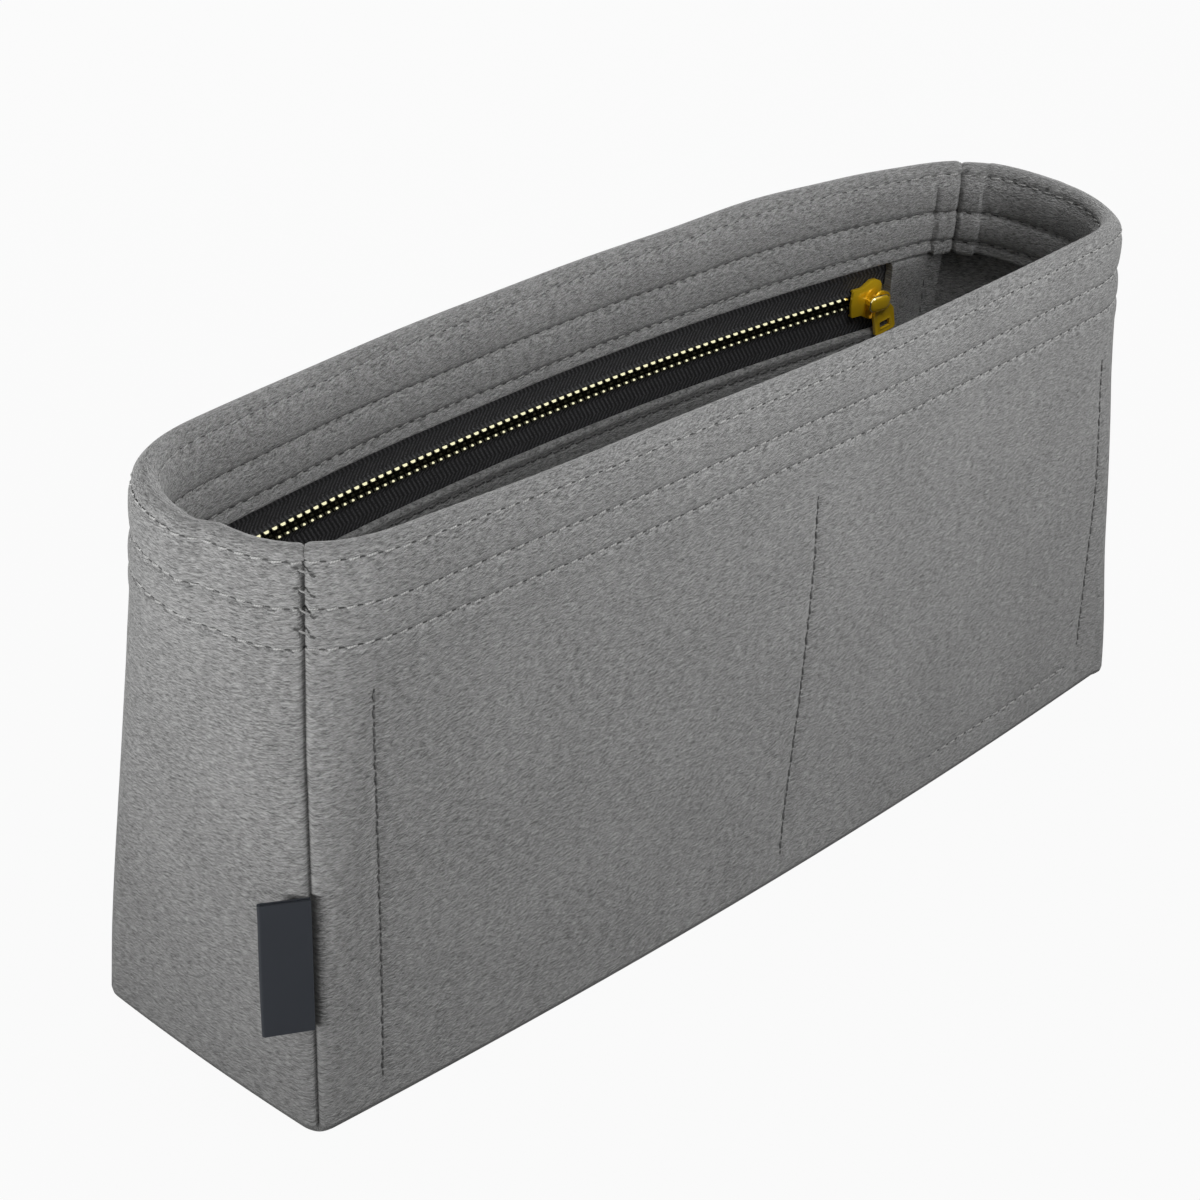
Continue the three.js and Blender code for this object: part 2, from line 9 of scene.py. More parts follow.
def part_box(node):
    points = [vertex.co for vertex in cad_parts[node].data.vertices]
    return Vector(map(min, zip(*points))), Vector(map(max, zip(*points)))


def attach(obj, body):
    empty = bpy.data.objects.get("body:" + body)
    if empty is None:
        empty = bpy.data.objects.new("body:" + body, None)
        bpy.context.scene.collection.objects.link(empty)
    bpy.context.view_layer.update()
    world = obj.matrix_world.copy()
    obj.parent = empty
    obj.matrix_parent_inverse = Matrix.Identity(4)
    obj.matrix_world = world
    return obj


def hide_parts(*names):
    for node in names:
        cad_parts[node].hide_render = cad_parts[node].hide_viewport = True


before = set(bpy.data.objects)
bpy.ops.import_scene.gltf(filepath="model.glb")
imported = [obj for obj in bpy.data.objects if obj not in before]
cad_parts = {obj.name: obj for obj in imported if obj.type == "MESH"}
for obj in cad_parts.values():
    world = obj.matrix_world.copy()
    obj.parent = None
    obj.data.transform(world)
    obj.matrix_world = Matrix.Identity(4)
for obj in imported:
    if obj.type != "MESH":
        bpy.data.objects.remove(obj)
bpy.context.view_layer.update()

bl_info = {
    "name": "Felt Purse Insert",
    "version": (1, 0, 0),
    "blender": (4, 5, 0),
    "location": "View3D > Sidebar > Insert",
    "description": "Builds a felt organizer insert with a turned hem, slip pockets and a zipped pocket",
    "category": "Object",
}

# Sizes from here to the lamps are in millimetres
MM = 0.001

# Tub outline, measured on the outside of the felt
BASE_LENGTH = 297.6
RIM_LENGTH = 297.0
BASE_DEPTH = 73.6
RIM_DEPTH = 66.0
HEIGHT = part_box("front_wrap")[1].z / MM
FRONT_BULGE = 4.8
BACK_BULGE = (6.8, 13.2)
END_BULGE = (0.9, 2.3)
CORNER = (5.0, 29.3)
BAND_Z = 92.0
CORNER_Z = 125.0
CORNER_GROWTH = 1.5
Y_MID = 2.3
BASE_SPINE = 112

# Hem, pockets and zip
EDGE_ROUND = 2.2
HEM_GAP = 1.2
HEM_FLARE = 1.9
SEAM_GAP = 0.02
CLEAR = 0.3
ROWS_BELOW_RIM = (2.8, 13.1, 22.0)
FOOT_ROW = 10.0
SLIP_HALF = 136.0
SLIP_SEAM = 4.0
SLIP_SLACK = 1.6
SLIP_BELOW_HEM = 3.0
ZIP_POCKET_HALF = 141.0
TAPE_HALF = 125.0
WINDOW_HALF = 121.0
WINDOW_ROUND = 3.0
WINDOW_DEPTH = 18.5
CHAIN_BELOW_HEM = 10.0
CHAIN_START = -114.5
SLIDER_AT = 112.8
CHAIN_O = 5.1
TAPE_THICK = 0.6
TAPE_UNDER_HEM = 7.0
TAPE_BELOW_CHAIN = 14.0
TAPE_TUCK = 0.75
TAPE_EDGE = 1.2
CORD_AT = 2.05
CORD_HALF_HEIGHT = 0.86
CORD_HALF_THICK = 0.62
CORD_END = 2.95
PANEL_O = CHAIN_O + TAPE_THICK / 2 + CLEAR
ARC_R = ((RIM_LENGTH / 2) ** 2 + BACK_BULGE[1] ** 2) / (2 * BACK_BULGE[1])
ARC_Y = RIM_DEPTH / 2 + BACK_BULGE[1] - ARC_R - Y_MID
PULL_AXIS = Vector((-0.134389, -0.990929, 0))

# Seams of the pockets, as x on the front or the back at each height
POCKET_LEFT = -130.3
POCKET_MIDDLE = ([0, 8, 26, 55, 88, 104], [0.6, 0.8, 2.5, 5.5, 8.0, 7.4])
POCKET_RIGHT = ([0, 17, 40, 63, 99, 104], [133.4, 133.6, 134.2, 134.6, 131.8, 131.2])
ZIP_POCKET_LINE = 136.5

# How sewing draws the felt in and lets it swell. Pairs are for the outside and the turned hem.
ROW_GROOVE = (0.5, 0.6)
ROW_WIDTH = 0.8
ROW_PUFF = (0.42, 0.95)
PUFF_ROUND = 0.7
ROW_DIMPLE = 0.14
ROW_DIMPLE_WIDTH = 1.7
DIMPLE_STEP = 4
HEM_STEP = 0.3
SEAM_DIP = 0.5
SEAM_DIP_BELOW_ROLL = 0.8
SEAM_DIP_WIDTH = 0.75
SEAM_HOLLOW = 0.3
SEAM_HOLLOW_WIDTH = 3.2
ALLOWANCE_RISE = 0.85
ALLOWANCE_EDGE = (7.4, 8.3)
ALLOWANCE_GROOVE = 0.4
ALLOWANCE_GROOVE_AT = 8.9
POCKET_GROOVE = 0.42
POCKET_GROOVE_WIDTH = 1.15
POCKET_HOLLOW = 0.22
POCKET_DIMPLE = 0.08
FOOT_GROOVE = 0.5
FOOT_DIMPLE = 0.15
FOOT_WIDTH = 0.9
LINING_GROOVE = 0.5
LINING_GROOVE_WIDTH = 0.85
LINING_HOLLOW = 0.2
LINING_HOLLOW_WIDTH = 3.4

# The rim's lifts along the back as height, x and width, and its dip at the front-right corner
RIM_LIFTS = ((1.4, 72, 24), (-1.2, 128, 15), (-0.7, -105, 40))
RIM_DIP = 1.6
RIM_DIP_WAY = 2.55
RIM_DIP_WIDTH = 0.3

# How far the left end leans out at the hem and the front-right corner at the foot, each with its
# first way round and its length round the tub
LEFT_SPREAD = 2.4
LEFT_SPREAD_WAYS = (6.2, 2.1)
LEFT_SPREAD_HEIGHTS = (100, 126)
FOOT_SPREAD = 1.5
FOOT_SPREAD_WAYS = (1.9, 1.2)
FOOT_SPREAD_TOP = 45

# Zip tooth, shaped from a block: each step down as a drop with factors for width and thickness, and
# each crown as its height, its cut, a factor for its width and the cut of its corners
TOOTH_BLOCK = (2.05, 2.3, 1.5)
TOOTH_MIDDLE = 1.45
TOOTH_FRONT = -1.1
TOOTH_STEPS = ((0.02, 0.5, 0.62), (0.35, 1, 1), (0.02, 1.25, 1.3), (0.35, 1, 1), (0.5, 0.7, 0.75))
TOOTH_CROWNS = ((2.2, 0.8, 0.82, 0.3), (0.7, 0.58, 0.55, 0.2))

# Label and the way it leans out of the seam
LABEL_THICK = 0.5
LABEL_SLIT = 0.4
LABEL_REACH = (-0.86, 0.48)
LABEL_BOW = 0.5
LABEL_RIPPLE = 0.25

# Stitches: foot and top of the pocket seams, ends of the foot row, and the rows at seam and sill
POCKET_SEAMS = ((8.5, 104), (8, 103), (15, 100))
ZIP_POCKET_SEAM = (8, 104)
FOOT_ROW_ENDS = (62, 127)
SEAM_STITCHES_BELOW_RIM = (4.6, 9.0, 13.6, 18.0)
SILL_ROW = 2.6

# Phase of the thread's twist: along it for each millimetre, and once around it
TWIST_ALONG = 9.0
TWIST_AROUND = 6.283

# Lamps in metres and watts: name, place, aim, size and power
LAMPS = (
    ("front_light", (0.1, -0.45, 0.34), (0, 0, 0.64), 0.16, 1.85),
    ("low_light", (0.1, -0.45, 0.17), (0, 0, 0.57), 0.16, 0.9),
    ("left_light", (-0.5, 0, 0.09), (0, 0, 1.0), 0.12, 3.0),
    ("high_light", (0, -0.4, 0.9), (0, 0, 0.1), 0.4, 3.3),
    ("back_light", (1.2, 1.6, 0.5), (0, 0, 0.07), 0.9, 42),
)

# Camera: azimuth, elevation and roll in degrees, aim and distance in metres, lens in millimetres
CAMERA_TURN = (-48.26, 28.79, 3.0)
CAMERA_AIM = Vector((-0.03561, -0.0113, 0.08))
CAMERA_AWAY = 0.66154
CAMERA_LENS = 84.81
CAMERA_SENSOR = 36


class InsertSizes(bpy.types.PropertyGroup):
    """Sizes of the felt, thread, zip and label"""

    felt: bpy.props.FloatProperty(
        name="Felt Thickness", description="Thickness of the felt sheet",
        default=0.0026, min=0.001, max=0.005, unit="LENGTH")
    hem_depth: bpy.props.FloatProperty(
        name="Hem Depth", description="How far the turned hem reaches down inside",
        default=0.0255, min=0.01, max=0.05, unit="LENGTH")
    stitch: bpy.props.FloatProperty(
        name="Stitch Length", description="Length of one machine stitch",
        default=0.004, min=0.002, max=0.008, unit="LENGTH")
    thread: bpy.props.FloatProperty(
        name="Thread Width", description="Width of the sewing thread",
        default=0.00052, min=0.0002, max=0.001, unit="LENGTH")
    tooth_pitch: bpy.props.FloatProperty(
        name="Tooth Pitch", description="Distance between two teeth of one row of the zip",
        default=0.00276, min=0.002, max=0.006, unit="LENGTH")
    label_width: bpy.props.FloatProperty(
        name="Label Width", description="How far the folded label stands out of the seam",
        default=0.0113, min=0.004, max=0.02, unit="LENGTH")


class InsertColours(bpy.types.PropertyGroup):
    """Colours of the felt, thread, zip and label"""

    felt: bpy.props.FloatVectorProperty(
        name="Felt", description="Colour of the felt", subtype="COLOR",
        default=(0.215, 0.215, 0.213), min=0, max=1)
    thread: bpy.props.FloatVectorProperty(
        name="Hem Thread", description="Colour of the thread of the hem", subtype="COLOR",
        default=(0.31, 0.31, 0.305), min=0, max=1)
    pocket_thread: bpy.props.FloatVectorProperty(
        name="Pocket Thread", description="Colour of the thread of the pockets", subtype="COLOR",
        default=(0.07, 0.07, 0.069), min=0, max=1)
    tape: bpy.props.FloatVectorProperty(
        name="Zip Tape", description="Colour of the woven zip tape", subtype="COLOR",
        default=(0.014, 0.014, 0.015), min=0, max=1)
    teeth: bpy.props.FloatVectorProperty(
        name="Zip Teeth", description="Colour of the brass teeth", subtype="COLOR",
        default=(1.0, 0.96, 0.62), min=0, max=1)
    slider: bpy.props.FloatVectorProperty(
        name="Slider", description="Colour of the brass slider and pull", subtype="COLOR",
        default=(1.0, 0.64, 0.02), min=0, max=1)
    label: bpy.props.FloatVectorProperty(
        name="Label", description="Colour of the woven label", subtype="COLOR",
        default=(0.007, 0.009, 0.013), min=0, max=1)


def sizes():
    return bpy.context.scene.insert_sizes


def colours():
    return bpy.context.scene.insert_colours


def felt_mm():
    return sizes().felt / MM


def hem_z():
    """Height of the lower edge of the turned hem."""
    return HEIGHT - sizes().hem_depth / MM


def chain_z():
    """Height of the zip's middle line."""
    return hem_z() - CHAIN_BELOW_HEM


def sill_z():
    """Height of the lower edge of the zip's window."""
    return hem_z() - WINDOW_DEPTH


def lerp(a, b, t):
    return a + (b - a) * t


def smooth(a, b, v):
    t = np.clip((v - a) / (b - a), 0, 1)
    return t * t * (3 - 2 * t)


def bell(v, width):
    """1 at 0, falling off to both sides over a width."""
    return np.exp(-(v / width) ** 2)


def side(k, t, z):
    """One side of the outline, trimmed where its corners begin: x, y and the outward normal."""
    h = np.clip(z / BAND_Z, 0, 1)
    a = lerp(BASE_LENGTH, RIM_LENGTH, h) / 2
    c = lerp(BASE_DEPTH, RIM_DEPTH, h) / 2
    end = lerp(END_BULGE[0], END_BULGE[1], h)
    sag = (FRONT_BULGE + 0 * h, end, lerp(BACK_BULGE[0], BACK_BULGE[1], h), end)[k]
    corners = ((-a, -c), (a, -c), (a, c), (-a, c))
    p = corners[k]
    q = corners[(k + 1) % 4]
    chord = np.hypot(q[0] - p[0], q[1] - p[1])
    ux = (q[0] - p[0]) / chord
    uy = (q[1] - p[1]) / chord
    grown = np.clip(z / CORNER_Z, 0, 1) ** CORNER_GROWTH
    cut = np.minimum(lerp(CORNER[0], CORNER[1], grown), chord * 0.46) / chord
    radius = (chord * chord / 4 + sag * sag) / (2 * sag)
    angle = (2 * lerp(cut, 1 - cut, t) - 1) * np.arcsin(chord / 2 / radius)
    along = radius * np.sin(angle)
    out = radius * np.cos(angle) - radius + sag
    return np.stack([
        (p[0] + q[0]) / 2 + ux * along + uy * out,
        (p[1] + q[1]) / 2 + uy * along - ux * out,
        ux * np.sin(angle) + uy * np.cos(angle),
        uy * np.sin(angle) - ux * np.cos(angle),
    ], -1)


def corner(k, t, z):
    """A rounded corner between two sides, tangent to both."""
    p = side((k + 3) % 4, 1.0 + 0 * t, z)
    q = side(k, 0.0 + 0 * t, z)
    det = p[..., 2] * q[..., 3] - p[..., 3] * q[..., 2]
    dp = p[..., 2] * p[..., 0] + p[..., 3] * p[..., 1]
    dq = q[..., 2] * q[..., 0] + q[..., 3] * q[..., 1]
    mx = (dp * q[..., 3] - dq * p[..., 3]) / det
    my = (p[..., 2] * dq - q[..., 2] * dp) / det
    s = 1 - t
    dx = s * (mx - p[..., 0]) + t * (q[..., 0] - mx)
    dy = s * (my - p[..., 1]) + t * (q[..., 1] - my)
    d = np.hypot(dx, dy)
    return np.stack([
        s * s * p[..., 0] + 2 * s * t * mx + t * t * q[..., 0],
        s * s * p[..., 1] + 2 * s * t * my + t * t * q[..., 1],
        dy / d,
        -dx / d,
    ], -1)


def edge(u, z):
    """The outside of the felt at way u round the tub and height z: x, y and the outward normal.

    u 0 to 1 is the front-left corner, 1 to 2 the front, 2 to 3 the front-right corner, 3 to 4 the
    right end, and so on round the back to the left end. The two seams are at 0.5 and 4.5."""
    u, z = np.broadcast_arrays(np.mod(np.asarray(u, float), 8), np.asarray(z, float))
    out = np.zeros(u.shape + (4,))
    for part in range(8):
        here = np.floor(u).astype(int) == part
        if here.any():
            shape = side if part % 2 else corner
            out[here] = shape(part // 2, u[here] - part, z[here])
    out[..., 1] -= Y_MID
    return out


def moved_in(e, depth):
    """x and y of points of the outline that are moved in along their normals."""
    return e[..., 0] - e[..., 2] * depth, e[..., 1] - e[..., 3] * depth


def place(u, z, depth):
    """A point at a depth in from the outside of the felt."""
    x, y = moved_in(edge(u, z), np.asarray(depth, float))
    return np.stack([x, y, np.broadcast_to(z, x.shape)], -1)


def way_at(x, z, back):
    """The way round at which the front or the back passes a given x."""
    x, z = np.broadcast_arrays(np.asarray(x, float), np.asarray(z, float))
    lo = np.full(x.shape, 4.2 if back else 0.2)
    hi = np.full(x.shape, 6.8 if back else 2.8)
    for _ in range(36):
        mid = (lo + hi) / 2
        before = (edge(mid, z)[..., 0] < x) != back
        lo = np.where(before, mid, lo)
        hi = np.where(before, hi, mid)
    return (lo + hi) / 2


def by_chain(s, o, z):
    """A point of the zip: s along the chain, o the depth in from the outside, z above the chain."""
    angle = np.asarray(s, float) / (ARC_R - CHAIN_O)
    x = (ARC_R - o) * np.sin(angle)
    y = ARC_Y + (ARC_R - o) * np.cos(angle)
    return np.stack(np.broadcast_arrays(x, y, chain_z() + z), -1)


def waviness(s, z, seed):
    """Slow unevenness of pressed felt, in millimetres."""
    return (0.26 * np.sin(s / 37 + seed) * np.sin(z / 41 + 0.4 + seed)
            + 0.16 * np.sin(s / 19 + z / 23 + 2.1 * seed)
            + 0.09 * np.sin(s / 9.3 - z / 14 + seed))


def pocket_lines(z):
    """Where the three seams of the slip pockets run on the front, as x at height z."""
    left = POCKET_LEFT + 0.5 * np.sin(z / 30)
    return left, np.interp(z, *POCKET_MIDDLE), np.interp(z, *POCKET_RIGHT)


def zip_pocket_lines(z):
    """Where the two end seams of the zipped pocket run on the back, as x at height z."""
    return -ZIP_POCKET_LINE + 0 * z, ZIP_POCKET_LINE + 0 * z


def rise(s, z, total, x, front, outside):
    """How far the felt stands proud of the plain outline: sewn grooves, swelling and waves."""
    h = np.zeros(np.broadcast_shapes(np.shape(s), np.shape(z)))
    rows = [HEIGHT - d for d in ROWS_BELOW_RIM]
    puff = np.where(outside, *ROW_PUFF)
    for row in rows:
        h = h - np.where(outside, *ROW_GROOVE) * bell(z - row, ROW_WIDTH)
    for low, high in ((rows[1], rows[0]), (rows[2], rows[1])):
        h = h + puff * np.sin(np.pi * np.clip((z - low) / (high - low), 0, 1)) ** PUFF_ROUND
    below_rows = 1 - smooth(rows[2] - 1, rows[2], z)
    h = h + HEM_STEP * smooth(hem_z() - 3, hem_z() + 1, z) * below_rows * outside

    # The wrap's two seams, and on the inside the seam allowance that is sewn flat beside them
    ends = np.minimum(s, total - s)
    below_roll = 1 - smooth(HEIGHT - 5, HEIGHT - 1, z)
    h = h - (SEAM_DIP + SEAM_DIP_BELOW_ROLL * below_roll) * bell(ends, SEAM_DIP_WIDTH)
    h = h - SEAM_HOLLOW * below_roll * bell(ends, SEAM_HOLLOW_WIDTH)
    inside = np.where(outside, 0.0, 1.0)
    allowance = ALLOWANCE_RISE * (1 - smooth(*ALLOWANCE_EDGE, ends))
    allowance = allowance - ALLOWANCE_GROOVE * bell(ends - ALLOWANCE_GROOVE_AT, ROW_WIDTH)
    h = h + inside * allowance * (1 - smooth(HEIGHT - 7, HEIGHT - 3, z))
    for row in rows:
        dimples = np.sin(2 * np.pi * s / DIMPLE_STEP + row)
        h = h + inside * ROW_DIMPLE * dimples * bell(z - row, ROW_DIMPLE_WIDTH)
    calm = smooth(3, 20, z) * (1 - smooth(hem_z() - 14, hem_z(), z) * 0.6) * smooth(0, 12, ends)
    h = h + waviness(s, z, 1.3 if front else 2.9) * calm

    # The seams of the pockets, seen on the outside, and the row at the foot of the front
    for line in (pocket_lines(z) if front else zip_pocket_lines(z)):
        reach = smooth(4, 8, z) * (1 - smooth(103, 107, z)) * outside
        away = (x - line) / POCKET_GROOVE_WIDTH
        h = h - POCKET_GROOVE * reach * bell(away, 1)
        h = h - POCKET_HOLLOW * reach * bell(away, 3.2)
        h = h + POCKET_DIMPLE * reach * bell(away, 2.4) * np.cos(2 * np.pi * z / DIMPLE_STEP)
    if front:
        foot = outside * smooth(20, 80, x) * (1 - smooth(126, 130, x))
        dents = FOOT_GROOVE + FOOT_DIMPLE * np.cos(2 * np.pi * x / DIMPLE_STEP)
        h = h - foot * dents * bell(z - FOOT_ROW, FOOT_WIDTH)
    return h


def row_wave(s, row):
    """How far a row of stitches strays up or down along its run."""
    return 0.22 * np.sin(s / 47 + row) + 0.12 * np.sin(s / 13 + 2 * row)


def lifted(s, z, u, x):
    """Height of a point of the wall, with the unsteady run of the stitch rows and the rim."""
    rim = smooth(hem_z() - 10, HEIGHT, z)
    for row in [HEIGHT - d for d in ROWS_BELOW_RIM]:
        z = z + row_wave(s, row) * bell(z - row, 3)
    return z + rim_wave(s, u, x) * rim


def rim_wave(s, u, x):
    """The rim's uneven height: it lifts and dips along the back and dips at the front-right corner."""
    wave = 0.35 * (np.sin(s / 43 + 0.7) + 0.6 * np.sin(s / 21 + 2))
    back = sum(lift * bell(x - at, width) for lift, at, width in RIM_LIFTS)
    return wave + back * (np.mod(u, 8) > 4.3) - RIM_DIP * bell(u - RIM_DIP_WAY, RIM_DIP_WIDTH)


def spread(u, z):
    """How far the left end leans out at the hem, and the front-right corner at the foot."""
    u = np.mod(u, 8)
    first, length = LEFT_SPREAD_WAYS
    left = np.sin(np.pi * np.clip((u - first) / length, 0, 1)) ** 2 * (u > 1)
    first, length = FOOT_SPREAD_WAYS
    right = np.sin(np.pi * np.clip((u - first) / length, 0, 1)) ** 2
    at_hem = LEFT_SPREAD * left * smooth(*LEFT_SPREAD_HEIGHTS, z)
    return at_hem + FOOT_SPREAD * right * (1 - smooth(0, FOOT_SPREAD_TOP, z))


def flare(u):
    """How far the lower edge of the hem stands off the wall along the back."""
    u = np.mod(u, 8)
    return HEM_FLARE * smooth(4.5, 5, u) * (1 - smooth(6, 6.5, u))


def ways_of(start):
    """Stations along one wrap, close together at its two seams."""
    near = np.concatenate([[0, 0.01, 0.021, 0.034, 0.05, 0.07, 0.095], np.arange(0.12, 0.49, 0.02)])
    return start + np.concatenate([
        0.5 + near,
        np.linspace(1, 2, 290)[:-1],
        np.linspace(2, 3, 34)[:-1],
        np.linspace(3, 4, 40)[:-1],
        4.5 - near[::-1],
    ])


def lengths_along(points):
    """Length along a line of points, from its first point to each."""
    step = np.linalg.norm(np.diff(points, axis=0), axis=-1)
    return np.concatenate([np.zeros((1,) + step.shape[1:]), np.cumsum(step, 0)])


def wall_section():
    """The wrap's section: depth, height, share of the flare, and the way out of its surface."""
    t = felt_mm()
    roll = t + HEM_GAP / 2
    top = HEIGHT - roll
    low = hem_z()
    pts = []

    # Heights of the stations, close together at the hem and beside every row of stitches
    rows = HEIGHT - np.array(ROWS_BELOW_RIM)
    close = np.arange(low + 0.9, top - 0.3, 0.85)
    close = close[np.abs(close[:, None] - rows).min(1) > 1.5]
    beside = (rows[1:, None] + np.array([-1.2, -0.75, -0.35, 0, 0.35, 0.75, 1.2])).ravel()
    close = np.sort(np.concatenate([close, beside]))
    wall = np.linspace(EDGE_ROUND, low - 7, 46)
    wall = wall[np.abs(wall - FOOT_ROW) > 1.8]
    wall = np.sort(np.concatenate([wall, FOOT_ROW + np.array([-1.4, -0.7, 0, 0.7, 1.4])]))
    for z in np.concatenate([wall, np.arange(low - 6.2, low + 0.5, 0.85), close]):
        pts.append((0, z, 0, -1, 0))

    # Over the rim, down the turned hem, round its lower edge and back up behind it
    for r in np.linspace(math.pi, 0, 17):
        pts.append((roll + roll * math.cos(r), top + roll * math.sin(r), 0, math.cos(r), math.sin(r)))
    for z in close[::-1]:
        pts.append((2 * roll, z, 1 - (z - low) / (top - low), 1, 0))
    for o, z, wx, wz in ((2 * roll, low + 0.55, 1, 0), (2 * roll - 0.25, low + 0.12, 0.7, -0.7),
                         (2 * roll - 0.8, low, 0, 0), (t + HEM_GAP + 0.6, low, 0, 0),
                         (t + HEM_GAP, low + 0.5, 0, 0)):
        pts.append((o, z, 1 - (z - low) / (top - low), wx, wz))
    for z in np.linspace(low + 5, top, 5):
        pts.append((t + HEM_GAP, z, 1 - (z - low) / (top - low), 0, 0))
    for r in (0.8, 1.57, 2.34):
        pts.append((roll + HEM_GAP / 2 * math.cos(r), top + HEM_GAP / 2 * math.sin(r), 0, 0, 0))

    # Down the inner face of the wall and round its foot
    for z in np.linspace(top, EDGE_ROUND, 40):
        pts.append((t, z, 0, 0.0, 0))
    r = EDGE_ROUND
    for o, z in ((t, 0.5), (t - 0.4, 0), (r * 0.95, 0), (r * 0.5, r * 0.13), (r * 0.15, r * 0.45)):
        pts.append((o, z, 0, 0, 0))
    return np.array(pts)


def new_piece(name, points, faces, material, uv=None, angle=50):
    """A finished mesh piece in the row frame that rides on the tub."""
    mesh = bpy.data.meshes.new(name)
    mesh.from_pydata((np.asarray(points, float).reshape(-1, 3) * MM).tolist(), [], faces)
    if uv is not None:
        layer = mesh.uv_layers.new(name="surface")
        index = np.zeros(len(mesh.loops), np.int32)
        mesh.loops.foreach_get("vertex_index", index)
        layer.data.foreach_set("uv", np.asarray(uv, np.float32).reshape(-1, 2)[index].ravel())
    mesh.materials.append(material)
    mesh.update()
    piece = bpy.data.objects.new(name, mesh)
    bpy.context.scene.collection.objects.link(piece)
    only(piece)
    bpy.ops.object.mode_set(mode="EDIT")
    bpy.ops.mesh.select_all(action="SELECT")
    bpy.ops.mesh.normals_make_consistent(inside=False)
    bpy.ops.object.mode_set(mode="OBJECT")
    bpy.ops.object.shade_smooth_by_angle(angle=math.radians(angle))
    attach(piece, "tub")
    return piece


def only(piece):
    """Select one object alone and make it active."""
    bpy.ops.object.select_all(action="DESELECT")
    piece.select_set(True)
    bpy.context.view_layer.objects.active = piece


def ring_faces(rings, n, caps=True):
    """Faces of a closed solid through rings of n points each."""
    i = np.arange(n)
    j = (i + 1) % n
    faces = []
    for r in range(rings - 1):
        a = r * n
        b = a + n
        faces.append(np.stack([a + i, b + i, b + j, a + j], -1))
    faces = np.concatenate(faces).tolist()
    if caps:
        faces.append(list(range(n - 1, -1, -1)))
        faces.append(list(range((rings - 1) * n, rings * n)))
    return faces


def wrap_ways(start, z):
    """Stations of a wrap at each height, held apart at the seams by the seam's gap."""
    ways = np.repeat(ways_of(start)[:, None], len(z), 1)
    for row, turn in ((0, 1), (-1, -1)):
        u = ways[row]
        speed = np.linalg.norm(edge(u + 1e-4, z)[..., :2] - edge(u - 1e-4, z)[..., :2], axis=-1) / 2e-4
        ways[row] = u + turn * SEAM_GAP / 2 / speed
    return ways


def felt_wrap(name, cad, start, material):
    """One felt wrap with its turned hem, as a closed sheet."""
    o, z, lean, wo, wz = wall_section().T
    ways = wrap_ways(start, z)
    plain = edge(ways, z[None, :])
    s = lengths_along(plain[..., :2])
    total = s[-1][None, :]
    proud = rise(s, z[None, :], total, plain[..., 0], start == 0, wo[None, :] < 0)
    depth = o[None, :] + lean[None, :] * flare(ways) + proud * wo[None, :] - spread(ways, z[None, :])
    up = lifted(s, z[None, :], ways, plain[..., 0]) + proud * wz[None, :]
    points = np.stack([*moved_in(plain, depth), up], -1)
    along = np.concatenate([[0], np.cumsum(np.hypot(np.diff(o), np.diff(z)))])
    uv = np.stack(np.broadcast_arrays(s, along[None, :]), -1)
    piece = new_piece(name, points, ring_faces(len(ways), len(z)), material, uv)
    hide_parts(cad)


def slip_depth(x, z):
    """Depth of the slip pocket's outer face: it stands off between its seams towards its top."""
    top = hem_z() - SLIP_BELOW_HEM
    left, middle, right = pocket_lines(z)
    a = np.clip((x - left) / (middle - left), 0, 1)
    b = np.clip((x - middle) / (right - middle), 0, 1)
    swell = np.sin(np.pi * np.where(x < middle, a, b)) ** 2
    return felt_mm() + CLEAR + SLIP_SLACK * swell * np.clip(z / top, 0, 1) ** 2


def panel_depth(x, z):
    """Depth of the zip pocket's outer face: it passes over the zip tape."""
    t = felt_mm() + CLEAR
    over = 1 - smooth(TAPE_HALF + 0.5, ZIP_POCKET_HALF, np.abs(x))
    return t + (PANEL_O - t) * over * smooth(felt_mm(), sill_z() * 0.6, z)


def window_top(x):
    """Top edge of the zip pocket's sheet: the sill of the window, rounded up at both ends."""
    into = WINDOW_HALF - np.abs(x)
    r = WINDOW_ROUND
    bent = sill_z() + r - np.sqrt(np.clip(r * r - (r - np.clip(into, 0, r)) ** 2, 0, None))
    return np.where(into < 0, hem_z() - CLEAR, np.where(into > r, sill_z(), bent))


def lining_groove(x, lines):
    """Sewn grooves on the inner face of a pocket, in millimetres."""
    h = 0.0
    for line in lines:
        h = h + LINING_GROOVE * bell(x - line, LINING_GROOVE_WIDTH)
        h = h + LINING_HOLLOW * bell(x - line, LINING_HOLLOW_WIDTH)
    return h


def slip_face(x, z):
    """Depth of the slip pocket's inner face, with its sewn grooves."""
    h = lining_groove(x, pocket_lines(z))
    return slip_depth(x, z) + felt_mm() - h + 0.5 * waviness(x + 150, z, 0.6)


def panel_face(x, z):
    """Depth of the zip pocket's inner face, with its sewn grooves and the row under the sill."""
    h = lining_groove(x, zip_pocket_lines(z))
    h = h + LINING_GROOVE * bell(z - sill_z() + SILL_ROW, ROW_WIDTH) * (np.abs(x) < WINDOW_HALF)
    calm = 1 - smooth(sill_z() - 14, sill_z() - 4, z)
    return panel_depth(x, z) + felt_mm() - h + 0.5 * waviness(x + 150, z, 1.9) * calm


